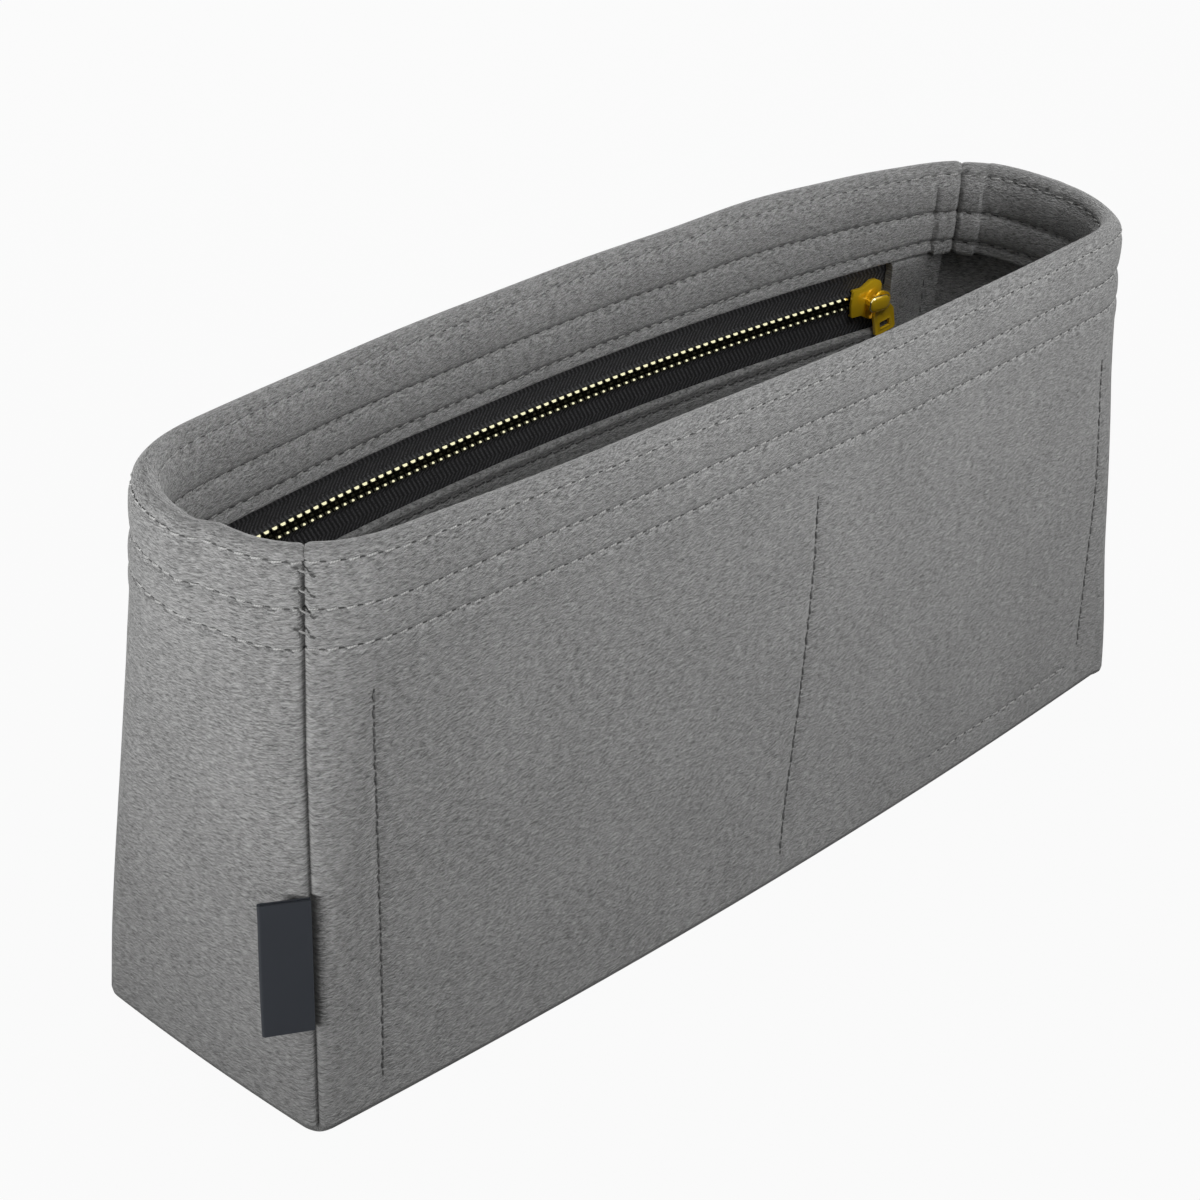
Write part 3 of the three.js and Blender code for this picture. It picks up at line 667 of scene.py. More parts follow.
def pocket_sheet(name, cad, stations, top_at, depth, face, back, material):
    """A felt pocket sheet on the inside of a wall, from the base up to its top edge."""
    t = felt_mm()
    foot = t + CLEAR
    share = np.concatenate([np.linspace(0, 0.8, 30), np.linspace(0.8, 1, 22)[1:]])
    round_in = ((0.35, 0.5), (0.9, 0.12), (t - 0.9, 0.1), (t - 0.35, 0.45))
    x = stations[:, None]
    top = top_at(stations)[:, None]
    heights = lerp(foot, top - 0.9, share[None, :])
    outer = depth(x, heights)
    inner = face(x, heights)
    lips = [(depth(x, top) + o, top - down) for o, down in round_in]
    o = np.concatenate([outer] + [lip[0] for lip in lips] + [inner[:, ::-1]], 1)
    z = np.concatenate([heights] + [lip[1] for lip in lips] + [heights[:, ::-1]], 1)
    xs = np.broadcast_to(x, o.shape)
    points = place(way_at(xs, z, back), z, o)
    fold = np.concatenate([heights * 0 - 1] + [top * 0 + 1] * 4 + [heights * 0 + 1], 1)
    uv = np.stack([xs * np.where(fold > 0, 1, -1), z + np.where(fold > 0, 0, 200)], -1)
    piece = new_piece(name, points, ring_faces(len(stations), o.shape[1]), material, uv)
    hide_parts(cad)
    return piece


def run_to(end, z, start):
    """Length along a wrap from its first seam to a way round, at each height."""
    ways = lerp(start + 0.5, end[None], np.linspace(0, 1, 200)[:, None])
    return lengths_along(edge(ways, z[None])[..., :2])[-1]


def wall_point(u, z, start, inside):
    """A point on a finished wall, outside or on the turned hem, and its normal."""
    u, z = np.broadcast_arrays(np.asarray(u, float), np.asarray(z, float))
    plain = edge(u, z)
    s = run_to(u, z, start)
    total = run_to(0 * u + start + 4.5, z, start)
    proud = rise(s, z, total, plain[..., 0], start == 0, not inside)
    roll = felt_mm() + HEM_GAP / 2
    lean = 1 - (z - hem_z()) / (HEIGHT - roll - hem_z())
    depth = 2 * roll + np.clip(lean, 0, 1) * flare(u) + proud if inside else -proud
    depth = depth - spread(u, z)
    turn = -1 if inside else 1
    point = np.stack([*moved_in(plain, depth), lifted(s, z, u, plain[..., 0])], -1)
    return point, np.stack([plain[..., 2] * turn, plain[..., 3] * turn, 0 * z], -1)


def lining_point(x, z, face, back):
    """A point on the inner face of a pocket sheet, and its normal."""
    x, z = np.broadcast_arrays(np.asarray(x, float), np.asarray(z, float))
    u = way_at(x, z, back)
    e = edge(u, z)
    return place(u, z, face(x, z)), np.stack([-e[..., 2], -e[..., 3], 0 * z], -1)


def seam_point(z, away):
    """A point beside the front-left seam, away from it towards the front or the left end."""
    pace = np.linalg.norm(edge(0.51, z)[:2] - edge(0.49, z)[:2]) / 0.02
    start, u = (0, 0.5 + away / pace) if away >= 0 else (4, 8.5 + away / pace)
    point, normal = wall_point([u], [z], start, False)
    return point[0] + normal[0] * (0.0 if away else 0.9)


class Needle:
    """Collects the stitches of one colour of thread, and the holes that the needle left, each a dark
    patch painted as the hole's shade.
    """

    RING = np.linspace(0, 2 * np.pi, 6)[:-1]
    HOLE = np.linspace(0, 2 * np.pi, 9)[:-1]

    # Rings of one stitch: where each stands as a share of a step, then its lift and size in radii
    SHARE = np.array([0.22, 0.34, 0.74, 0.86])
    LIFT = np.array([-1.1, 0.6, 0.6, -1.1])
    TAPER = np.array([0.75, 1, 1, 0.75])
    FLATNESS = 0.85

    # Run of the rings on the surface pattern, and what is in millimetres
    UNROLLED = [0, 0.7, 2.6, 3.2]
    SWAY = np.array([-0.2, -0.1, 0.1, 0.2])
    ABOVE_FELT = 0.1
    UNEVEN_STEP = 0.09
    UNEVEN_SWAY = 0.07
    HOLE_LENGTH = 0.68
    HOLE_WIDTH = 0.27

    def __init__(self, seed):
        self.random = np.random.default_rng(seed)
        self.thread = []
        self.holes = []

    def sew(self, points, normals, stitch=None):
        """Stitches along a line on the felt, each a short thread that dives in at both ends."""
        stitch = stitch or sizes().stitch / MM
        radius = sizes().thread / MM / 2
        run = lengths_along(points)
        count = max(int(round(run[-1] / stitch)), 1)
        step = run[-1] / count

        def at(s, v):
            return np.stack([np.interp(s, run, v[:, i]) for i in range(3)], -1)

        s = (np.arange(count)[:, None] + self.SHARE[None, :]) * step
        s = s + self.random.normal(0, self.UNEVEN_STEP, (count, 1))
        normal = at(s, normals)
        normal /= np.linalg.norm(normal, axis=-1, keepdims=True)
        along = at(s + 0.4, points) - at(s - 0.4, points)
        along /= np.linalg.norm(along, axis=-1, keepdims=True)
        side_way = np.cross(normal, along)
        lift = self.ABOVE_FELT + radius * self.LIFT
        sway = self.SWAY + self.random.normal(0, self.UNEVEN_SWAY, (count, 1))
        middle = at(s, points) + normal * lift[None, :, None] + side_way * sway[..., None]
        size = radius * self.TAPER[None, :, None, None]
        ring = (side_way[:, :, None] * np.cos(self.RING)[None, None, :, None]
                + normal[:, :, None] * np.sin(self.RING)[None, None, :, None] * self.FLATNESS)
        self.thread.append((middle[:, :, None] + ring * size).reshape(-1, 3))
        # A flat dark patch at each needle hole, just above the felt: painted shade
        s = np.arange(count + 1) * step
        normal = at(s, normals)
        along = at(np.minimum(s + 0.4, run[-1]), points) - at(np.maximum(s - 0.4, 0), points)
        along /= np.linalg.norm(along, axis=-1, keepdims=True)
        side_way = np.cross(normal, along)
        ring = (along[:, None] * np.cos(self.HOLE)[None, :, None] * self.HOLE_LENGTH
                + side_way[:, None] * np.sin(self.HOLE)[None, :, None] * self.HOLE_WIDTH)
        middle = at(s, points) + normal * self.ABOVE_FELT
        self.holes.append((middle[:, None] + ring).reshape(-1, 3))

    def finish(self, name, material):
        """The collected thread as one piece, and the needle holes, dark patches of painted shade, as
        another.
        """
        points = np.concatenate(self.thread)
        rings = len(self.SHARE)
        n = len(self.RING)
        each = rings * n
        one = np.array(ring_faces(rings, n, False))
        count = len(points) // each
        faces = (one[None] + each * np.arange(count)[:, None, None]).reshape(-1, 4).tolist()
        for first in range(0, len(points), each):
            faces.append(list(range(first + n - 1, first - 1, -1)))
            faces.append(list(range(first + each - n, first + each)))
        along = np.tile(np.repeat(self.UNROLLED, n), count)
        around = np.tile(np.arange(n) / n, rings * count)
        uv = np.stack([along, around], -1)
        new_piece(name, points, faces, material, uv, angle=80)
        points = np.concatenate(self.holes)
        faces = np.arange(len(points)).reshape(-1, len(self.HOLE)).tolist()
        new_piece(name + "_holes", points, faces, hole_shade_material())


def node(tree, kind, values=None, **settings):
    """A shader node with its settings, and its sockets set or linked by name or number."""
    made = tree.nodes.new(kind)
    for key, value in settings.items():
        setattr(made, key, value)
    for key, value in (values or {}).items():
        if isinstance(value, bpy.types.NodeSocket):
            tree.links.new(value, made.inputs[key])
        else:
            made.inputs[key].default_value = value
    return made


def calc(tree, operation, *values):
    """The output of a math node."""
    made = node(tree, "ShaderNodeMath", dict(enumerate(values)), operation=operation)
    return made.outputs[0]


def wave_of(tree, phase):
    """A sine of the phase, between 0 and 1."""
    return calc(tree, "MULTIPLY_ADD", calc(tree, "SINE", phase), 0.5, 0.5)


def new_group(name, inputs, outputs):
    """A shader node group with named sockets: its tree, its inputs by name, and its output node."""
    tree = bpy.data.node_groups.new(name, "ShaderNodeTree")
    for label, kind, default in inputs:
        socket = tree.interface.new_socket(name=label, in_out="INPUT", socket_type=kind)
        if default is not None:
            socket.default_value = default
    for label, kind in outputs:
        tree.interface.new_socket(name=label, in_out="OUTPUT", socket_type=kind)
    source = tree.nodes.new("NodeGroupInput")
    return tree, source.outputs, tree.nodes.new("NodeGroupOutput")


def fibre_group():
    """Matted fibres: short streaks in a few directions over a soft mottle."""
    tree, source, sink = new_group(
        "Matted Fibres",
        [("Vector", "NodeSocketVector", None), ("Length", "NodeSocketFloat", 5.0),
         ("Width", "NodeSocketFloat", 0.5)],
        [("Height", "NodeSocketFloat"), ("Tone", "NodeSocketFloat")])
    fibre = None
    for turn, reach, weight in ((9, 1.0, 1.0), (-8, 0.8, 0.8), (30, 0.6, 0.7), (-34, 0.4, 0.5)):
        turned = node(tree, "ShaderNodeMapping", {
            "Vector": source["Vector"], "Rotation": (0, 0, math.radians(-turn)),
            "Location": (turn * 3.7, turn * 1.9, 0)})
        apart = node(tree, "ShaderNodeSeparateXYZ", {0: turned.outputs[0]})
        along = calc(tree, "DIVIDE", apart.outputs[0], calc(tree, "MULTIPLY", source["Length"], reach))
        across = calc(tree, "DIVIDE", apart.outputs[1], source["Width"])
        streak = node(tree, "ShaderNodeCombineXYZ", {0: along, 1: across})
        noise = node(tree, "ShaderNodeTexNoise", {
            "Vector": streak.outputs[0], "Scale": 1.0, "Detail": 2.0, "Roughness": 0.6,
            "Distortion": 0.3}, noise_dimensions="2D")
        part = calc(tree, "MULTIPLY", calc(tree, "SUBTRACT", noise.outputs[0], 0.5), weight)
        fibre = part if fibre is None else calc(tree, "ADD", fibre, part)
    soft = node(tree, "ShaderNodeTexNoise", {
        "Vector": source["Vector"], "Scale": 0.35, "Detail": 4.0, "Roughness": 0.62},
        noise_dimensions="2D")
    wide = node(tree, "ShaderNodeTexNoise", {"Vector": source["Vector"], "Scale": 0.045, "Detail": 2.0},
                noise_dimensions="2D")
    tone = calc(tree, "MULTIPLY_ADD", fibre, 1.35, calc(tree, "MULTIPLY_ADD", soft.outputs[0], 0.3, 0.35))
    patches = calc(tree, "MULTIPLY", calc(tree, "SUBTRACT", wide.outputs[0], 0.5), 0.2)
    tone = calc(tree, "ADD", tone, patches)
    lump = calc(tree, "MULTIPLY_ADD", soft.outputs[0], 0.5, calc(tree, "MULTIPLY", fibre, 1.2))
    tree.links.new(lump, sink.inputs["Height"])
    tree.links.new(tone, sink.inputs["Tone"])
    return tree


def new_material(name):
    """A material with its Principled shader, empty apart from that and the output."""
    made = bpy.data.materials.new(name)
    made.use_nodes = True
    return made, made.node_tree, made.node_tree.nodes["Principled BSDF"]


def kept(name):
    """A material that an earlier piece made, if there is one."""
    return bpy.data.materials.get(name)


def surface_axes(tree):
    """The surface's own vector, and its two parts: along and across."""
    uv = node(tree, "ShaderNodeUVMap", uv_map="surface").outputs[0]
    apart = node(tree, "ShaderNodeSeparateXYZ", {0: uv})
    return uv, apart.outputs[0], apart.outputs[1]


def tinted(tree, shader, share, dark, light):
    """Colour the shader between a dark and a light tone by a pattern."""
    mix = node(tree, "ShaderNodeMix", {0: share, 6: (*dark, 1), 7: (*light, 1)}, data_type="RGBA")
    tree.links.new(mix.outputs[2], shader.inputs["Base Color"])


def bumped(tree, shader, height, strength, distance):
    """Turn the shader's normal by a height pattern, over a distance in metres."""
    bump = node(tree, "ShaderNodeBump", {"Height": height, "Strength": strength, "Distance": distance})
    tree.links.new(bump.outputs[0], shader.inputs["Normal"])


def set_inputs(shader, **values):
    """Plain values of a shader's inputs, each named with _ for a space."""
    for key, value in values.items():
        shader.inputs[key.replace("_", " ")].default_value = value


def scaled(colour, by):
    """A colour made darker or lighter, as a plain tuple."""
    return tuple(min(c * by, 1.0) for c in colour)


def felt_material():
    """Pressed grey felt."""
    if kept("pressed_felt"):
        return kept("pressed_felt")
    made, tree, shader = new_material("pressed_felt")
    uv = node(tree, "ShaderNodeUVMap", uv_map="surface")
    fibres = node(tree, "ShaderNodeGroup", node_tree=fibre_group())
    tree.links.new(uv.outputs[0], fibres.inputs["Vector"])
    fibres.inputs["Length"].default_value = 2.8
    fibres.inputs["Width"].default_value = 0.36
    colour = tuple(colours().felt)
    tinted(tree, shader, fibres.outputs["Tone"], scaled(colour, 0.35), scaled(colour, 1.65))
    bumped(tree, shader, fibres.outputs["Height"], 0.75, 0.0005)
    set_inputs(shader, Roughness=0.96, Specular_IOR_Level=0.15, Sheen_Weight=0.25, Sheen_Roughness=0.6)
    return made


def thread_material(name, colour):
    """Sewing thread with its twist."""
    made, tree, shader = new_material(name)
    _, along, around = surface_axes(tree)
    turned = calc(tree, "MULTIPLY", around, TWIST_AROUND)
    twist = wave_of(tree, calc(tree, "MULTIPLY_ADD", along, TWIST_ALONG, turned))
    tinted(tree, shader, twist, scaled(colour, 0.8), scaled(colour, 1.2))
    bumped(tree, shader, twist, 0.5, 0.0001)
    set_inputs(shader, Roughness=0.6)
    return made


def hole_shade_material():
    """Painted shade of a needle hole in felt: a dark patch laid on the felt."""
    if kept("needle_hole_shade"):
        return kept("needle_hole_shade")
    made, tree, shader = new_material("needle_hole_shade")
    place_of = node(tree, "ShaderNodeTexCoord")
    noise = node(tree, "ShaderNodeTexNoise",
                 {"Vector": place_of.outputs["Object"], "Scale": 2500.0, "Detail": 2.0})
    colour = tuple(colours().felt)
    tinted(tree, shader, noise.outputs[0], scaled(colour, 0.2), scaled(colour, 0.5))
    set_inputs(shader, Roughness=1.0, Specular_IOR_Level=0.0)
    return made


def tape_material():
    """Black zip tape in a fine herringbone."""
    made, tree, shader = new_material("herringbone_tape")
    uv, along, across = surface_axes(tree)
    zigzag = calc(tree, "MULTIPLY", calc(tree, "PINGPONG", across, 3.4), 0.64)
    rib = wave_of(tree, calc(tree, "MULTIPLY", calc(tree, "ADD", along, zigzag), 4.49))
    cross = wave_of(tree, calc(tree, "MULTIPLY", across, 9.0))
    worn = node(tree, "ShaderNodeTexNoise", {"Vector": uv, "Scale": 2.6, "Detail": 4.0},
                noise_dimensions="2D")
    yarn = calc(tree, "MULTIPLY_ADD", cross, 0.35, 0.65)
    weave = calc(tree, "MULTIPLY", calc(tree, "POWER", rib, 1.8), yarn)
    weave = calc(tree, "MULTIPLY", weave, calc(tree, "MULTIPLY_ADD", worn.outputs[0], 4.4, -1.3))
    colour = tuple(colours().tape)
    tinted(tree, shader, weave, scaled(colour, 0.45), scaled(colour, 7.0))
    bumped(tree, shader, weave, 0.8, 0.0003)
    set_inputs(shader, Roughness=0.72)
    return made


def tarnish_group():
    """Uneven tarnish and fine scratches of plated brass."""
    if "Brass Tarnish" in bpy.data.node_groups:
        return bpy.data.node_groups["Brass Tarnish"]
    tree, source, sink = new_group(
        "Brass Tarnish",
        [("Vector", "NodeSocketVector", None), ("Polish", "NodeSocketFloat", 0.2)],
        [("Mask", "NodeSocketFloat"), ("Roughness", "NodeSocketFloat"), ("Height", "NodeSocketFloat")])
    cloud = node(tree, "ShaderNodeTexNoise", {"Vector": source["Vector"], "Scale": 420.0, "Detail": 4.0})
    grain = node(tree, "ShaderNodeTexNoise", {"Vector": source["Vector"], "Scale": 5200.0, "Detail": 2.0})
    fine = calc(tree, "MULTIPLY", grain.outputs[0], 0.2)
    mask = calc(tree, "MULTIPLY_ADD", cloud.outputs[0], 0.8, fine)
    rough = calc(tree, "MULTIPLY_ADD", mask, 0.16, source["Polish"])
    tree.links.new(mask, sink.inputs["Mask"])
    tree.links.new(rough, sink.inputs["Roughness"])
    tree.links.new(grain.outputs[0], sink.inputs["Height"])
    return tree


def brass_material(name, colour, polish, dark, metallic=1.0, coat=0.0):
    """Brass with uneven tarnish, and lacquer where it has a coat."""
    if kept(name):
        return kept(name)
    made, tree, shader = new_material(name)
    place_of = node(tree, "ShaderNodeTexCoord")
    tarnish = node(tree, "ShaderNodeGroup", node_tree=tarnish_group())
    tree.links.new(place_of.outputs["Object"], tarnish.inputs["Vector"])
    tarnish.inputs["Polish"].default_value = polish
    tinted(tree, shader, tarnish.outputs["Mask"], colour, scaled(colour, dark))
    tree.links.new(tarnish.outputs["Roughness"], shader.inputs["Roughness"])
    bumped(tree, shader, tarnish.outputs["Height"], 0.12, 0.00005)
    set_inputs(shader, Metallic=metallic, Coat_Weight=coat, Coat_Roughness=0.06)
    return made


def teeth_brass():
    return brass_material("teeth_brass", tuple(colours().teeth), 0.02, 0.95)


# The teeth's brass darkened to 4% for the bodies of the teeth: painted shade
def shade_painted_brass():
    return brass_material("shade_painted_brass", scaled(colours().teeth, 0.04), 0.3, 0.6)


# Pale brass for the eased edges of the bail: painted highlight
def edge_highlight_brass():
    return brass_material("edge_highlight_brass", (1.0, 0.9, 0.45), 0.05, 0.9)


def slider_brass():
    return brass_material("lacquered_brass", tuple(colours().slider), 0.04, 0.9, 0.36, 1.0)


def satin_material():
    """Dark satin of the woven label."""
    made, tree, shader = new_material("woven_satin")
    _, along, up = surface_axes(tree)
    warp = calc(tree, "SINE", calc(tree, "MULTIPLY", along, 30.0))
    climb = calc(tree, "MULTIPLY", up, 21.0)
    weft = calc(tree, "SINE", calc(tree, "MULTIPLY_ADD", along, 9.0, climb))
    weave = calc(tree, "MULTIPLY_ADD", calc(tree, "MULTIPLY", warp, weft), 0.5, 0.5)
    colour = tuple(colours().label)
    tinted(tree, shader, weave, scaled(colour, 0.6), scaled(colour, 1.9))
    bumped(tree, shader, weave, 0.5, 0.0001)
    set_inputs(shader, Roughness=0.6, Specular_IOR_Level=0.3)
    return made


class INSERT_OT_walls(bpy.types.Operator):
    """Fold the two felt wraps that make the walls and their turned hem"""

    bl_idname = "insert.walls"
    bl_label = "Felt Walls"

    def execute(self, context):
        felt_wrap("front_felt", "front_wrap", 0, felt_material())
        felt_wrap("back_felt", "back_wrap", 4, felt_material())
        return {"FINISHED"}


class INSERT_OT_base(bpy.types.Operator):
    """Lay the felt base inside the foot of the walls"""

    bl_idname = "insert.base"
    bl_label = "Felt Base"

    def execute(self, context):
        t = felt_mm()
        ways = np.concatenate([
            np.linspace(k, k + 1, 40 if k % 4 == 1 else 16, endpoint=False) for k in range(8)])
        rim = place(ways, 0 * ways, t + CLEAR)[:, :2]
        spine = np.stack([np.clip(rim[:, 0], -BASE_SPINE, BASE_SPINE), 0 * rim[:, 1]], -1)
        share = np.array([0, 0.012, 0.03, 0.1, 0.2, 0.32, 0.45, 0.6, 0.75, 0.88])
        rings = []
        for turn, shares in ((0, share[::-1]), (1, share)):
            for f in shares:
                level = lerp(rim, spine, f)
                slope = 0.35 * math.exp(-f / 0.012)
                z = t - slope if turn else slope
                waves = 0.12 * np.sin(level[:, 0] / 31) * np.sin(level[:, 1] / 17 + 1)
                swell = waves * min(f * 6, 1) * turn
                rings.append(np.stack(np.broadcast_arrays(level[:, 0], level[:, 1], z + swell), -1))
        points = np.stack(rings)
        n = len(ways)
        faces = ring_faces(len(rings), n, False)
        for start, turn in ((0, 1), ((len(rings) - 1) * n, -1)):
            faces.append([start + i for i in range(n)][::turn])
        uv = points[..., :2] + np.where(points[..., 2:] > t / 2, 0, 400)
        piece = new_piece("base_felt", points, faces, felt_material(), uv)
        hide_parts("base_panel")
        return {"FINISHED"}


class INSERT_OT_pockets(bpy.types.Operator):
    """Sew the slip pockets inside the front and the zipped pocket inside the back"""

    bl_idname = "insert.pockets"
    bl_label = "Felt Pockets"

    def execute(self, context):
        slip_top = hem_z() - SLIP_BELOW_HEM
        stations = np.linspace(-SLIP_HALF, SLIP_HALF, 170)
        piece = pocket_sheet("slip_pocket_felt", "slip_pocket_panel", stations,
                             lambda x: slip_top + 0 * x, slip_depth, slip_face, False, felt_material())
        w = WINDOW_HALF
        half = np.concatenate([np.linspace(0, w - WINDOW_ROUND, 76)[1:],
                               w - WINDOW_ROUND * np.array([0.8, 0.6, 0.4, 0.25, 0.12, 0.04, 0]),
                               [w + 0.05], np.linspace(w + 0.9, ZIP_POCKET_HALF, 12)])
        stations = np.concatenate([-half[::-1], [0], half])
        piece = pocket_sheet("zip_pocket_felt", "zip_pocket_panel", stations,
                             window_top, panel_depth, panel_face, True, felt_material())
        return {"FINISHED"}


class INSERT_OT_tapes(bpy.types.Operator):
    """Weave the two zip tapes, each with a corded edge for its teeth"""

    bl_idname = "insert.tapes"
    bl_label = "Zip Tapes"

    def execute(self, context):
        weave = tape_material()
        stations = np.linspace(-TAPE_HALF, TAPE_HALF, 200)
        for name, cad, way, far in (
                ("upper_tape_weave", "upper_tape", 1, CHAIN_BELOW_HEM + TAPE_UNDER_HEM),
                ("lower_tape_weave", "lower_tape", -1, TAPE_BELOW_CHAIN)):
            z = np.concatenate([np.linspace(TAPE_EDGE, 2.9, 8), np.linspace(3.3, far, 14)])
            bend = np.clip(1 - ((z - CORD_AT) / CORD_HALF_HEIGHT) ** 2, 0.02, None)
            cord = CORD_HALF_THICK * np.sqrt(bend) * (z < CORD_END)
            half = np.maximum(cord, np.where(z < TAPE_EDGE + 0.1, 0.12, TAPE_THICK / 2))
            under = np.clip((z - CHAIN_BELOW_HEM + 0.5) / (TAPE_UNDER_HEM + 0.5), 0, 1)
            tuck = TAPE_TUCK * under * (way > 0)
            o = np.concatenate([CHAIN_O - tuck - half, (CHAIN_O - tuck + half)[::-1]])
            up = np.concatenate([z, z[::-1]]) * way
            points = by_chain(stations[:, None], o[None, :], up[None, :])
            uv = np.stack(np.broadcast_arrays(stations[:, None], up[None, :]), -1)
            piece = new_piece(name, points, ring_faces(len(stations), len(o)), weave, uv)
            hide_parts(cad)
        return {"FINISHED"}


def select_parts(piece, kind, test):
    """Select the faces or the edges of a piece that pass a test, in edit mode."""
    bpy.ops.object.mode_set(mode="EDIT")
    bpy.ops.mesh.select_mode(type=kind)
    bpy.ops.mesh.select_all(action="DESELECT")
    bpy.ops.object.mode_set(mode="OBJECT")
    for part in piece.data.polygons if kind == "FACE" else piece.data.edges:
        part.select = test(part)
    bpy.ops.object.mode_set(mode="EDIT")


def cut_crown(tooth, z, offset):
    """Cut a sloping facet along the front edge of the tooth's block at one height."""

    def at_front(e):
        a, b = (tooth.data.vertices[i].co for i in e.vertices)
        return max(a.y, b.y) < TOOTH_FRONT and max(abs(a.z - z), abs(b.z - z)) < 1e-3

    select_parts(tooth, "EDGE", at_front)
    bpy.ops.mesh.bevel(offset=offset, segments=1, affect="EDGES")
    bpy.ops.object.mode_set(mode="OBJECT")


def is_crown(face):
    """Whether a face is one of the tooth's sloping front facets."""
    return face.normal.y < -0.5 and abs(face.normal.z) > 0.5 and face.center.z > 0.6


def tooth_model(crown, shade_painted):
    """One tooth of the zip, shaped from a block: crimped legs with bright crowns, a neck and a head, the
    tooth outside its crowns painted near black as shade.
    """
    bpy.ops.object.select_all(action="DESELECT")
    bpy.ops.mesh.primitive_cube_add(size=1, location=(0, 0, TOOTH_MIDDLE))
    tooth = bpy.context.object
    tooth.name = "zip_tooth"
    tooth.scale = TOOTH_BLOCK
    bpy.ops.object.transform_apply(location=True, rotation=False, scale=True)
    for drop, wide, thick in TOOTH_STEPS:
        low = min(p.center.z for p in tooth.data.polygons)
        select_parts(tooth, "FACE", lambda p: p.center.z < low + 1e-4 and p.normal.z < -0.9)
        bpy.ops.mesh.extrude_region_move(TRANSFORM_OT_translate={"value": (0, 0, -drop)})
        bpy.ops.transform.resize(value=(wide, thick, 1))
        bpy.ops.object.mode_set(mode="OBJECT")
    for z, cut, wide, corner_cut in TOOTH_CROWNS:
        cut_crown(tooth, z, cut)
        select_parts(tooth, "FACE", lambda p: is_crown(p) and abs(p.center.z - z) < 0.5)
        bpy.ops.mesh.inset(thickness=0.1)
        bpy.ops.transform.resize(value=(wide, 1, 1))
        bpy.ops.mesh.select_mode(type="VERT")
        bpy.ops.mesh.bevel(offset=corner_cut, segments=1, affect="VERTICES")
        bpy.ops.object.mode_set(mode="OBJECT")
    # Only the sloping crowns keep the bright brass; the rest of each tooth gets the darkened copy,
    # painted shade
    tooth.data.materials.append(shade_painted)
    tooth.data.materials.append(crown)
    for p in tooth.data.polygons:
        p.material_index = 1 if is_crown(p) and len(p.vertices) == 8 else 0
    return tooth


class INSERT_OT_teeth(bpy.types.Operator):
    """Crimp the two rows of brass teeth on the tapes"""

    bl_idname = "insert.teeth"
    bl_label = "Zip Teeth"

    def execute(self, context):
        pattern = tooth_model(teeth_brass(), shade_painted_brass())
        pitch = sizes().tooth_pitch / MM
        for name, cad, way, start in (("upper_teeth_row", "upper_teeth", 1, CHAIN_START),
                                      ("lower_teeth_row", "lower_teeth", -1, CHAIN_START + pitch / 2)):
            count = int((SLIDER_AT + 0.2 - start) / pitch) + 1
            copies = []
            for k in range(count):
                angle = (start + k * pitch) / (ARC_R - CHAIN_O)
                spot = by_chain(start + k * pitch, CHAIN_O, 0.0) * MM
                copy = pattern.copy()
                copy.data = pattern.data.copy()
                upright = Matrix.Rotation(0 if way > 0 else math.pi, 4, "Y")
                turn = Matrix.Rotation(-angle, 4, "Z") @ upright
                copy.data.transform(Matrix.Translation(spot) @ turn @ Matrix.Scale(MM, 4))
                context.scene.collection.objects.link(copy)
                copies.append(copy)
            bpy.ops.object.select_all(action="DESELECT")
            for copy in copies:
                copy.select_set(True)
            row = copies[0]
            context.view_layer.objects.active = row
            bpy.ops.object.join()
            row.name = name
            bpy.ops.object.shade_smooth_by_angle(angle=math.radians(12))
            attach(row, "tub")
            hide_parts(cad)
        bpy.data.objects.remove(pattern)
        return {"FINISHED"}


def sink_face(piece, facing, border, depth):
    """Press the faces that look one way inwards, leaving a raised border round them and round holes."""
    faces = [p for p in piece.data.polygons if p.normal.dot(facing) > 0.985]
    front = max(p.center.dot(facing) for p in faces) - 1e-4
    select_parts(piece, "FACE", lambda p: p.normal.dot(facing) > 0.985 and p.center.dot(facing) > front)
    bpy.ops.mesh.inset(thickness=border * MM, depth=-depth * MM, use_boundary=True, use_even_offset=True)
    bpy.ops.object.mode_set(mode="OBJECT")


def metal_copy(cad, name, material, body, width, sunk=None, edge_highlight=None):
    """A CAD solid with its corners eased over a width, as stamped metal has.

    sunk is the border and depth of a pressed face, and the last argument the material of the eased edges,
    a pale brass painted on them as highlight."""
    piece = bpy.data.objects.new(name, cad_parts[cad].data.copy())
    bpy.context.scene.collection.objects.link(piece)
    piece.data.materials.clear()
    piece.data.materials.append(material)
    if edge_highlight:
        piece.data.materials.append(edge_highlight)
    only(piece)
    if piece.data.has_custom_normals:
        bpy.ops.mesh.customdata_custom_splitnormals_clear()
    bpy.ops.object.mode_set(mode="EDIT")
    bpy.ops.mesh.select_all(action="SELECT")
    bpy.ops.mesh.remove_doubles(threshold=2e-6)
    bpy.ops.mesh.dissolve_limited(angle_limit=math.radians(2))
    bpy.ops.object.mode_set(mode="OBJECT")
    if sunk:
        sink_face(piece, PULL_AXIS, *sunk)
    bevel = piece.modifiers.new("eased", "BEVEL")
    bevel.width = width * MM
    bevel.segments = 2
    bevel.limit_method = "ANGLE"
    bevel.angle_limit = math.radians(28)
    bevel.use_clamp_overlap = True
    if edge_highlight:
        bevel.material = 1
    bpy.ops.object.modifier_apply(modifier=bevel.name)
    bpy.ops.object.shade_smooth_by_angle(angle=math.radians(40))
    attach(piece, body)
    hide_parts(cad)


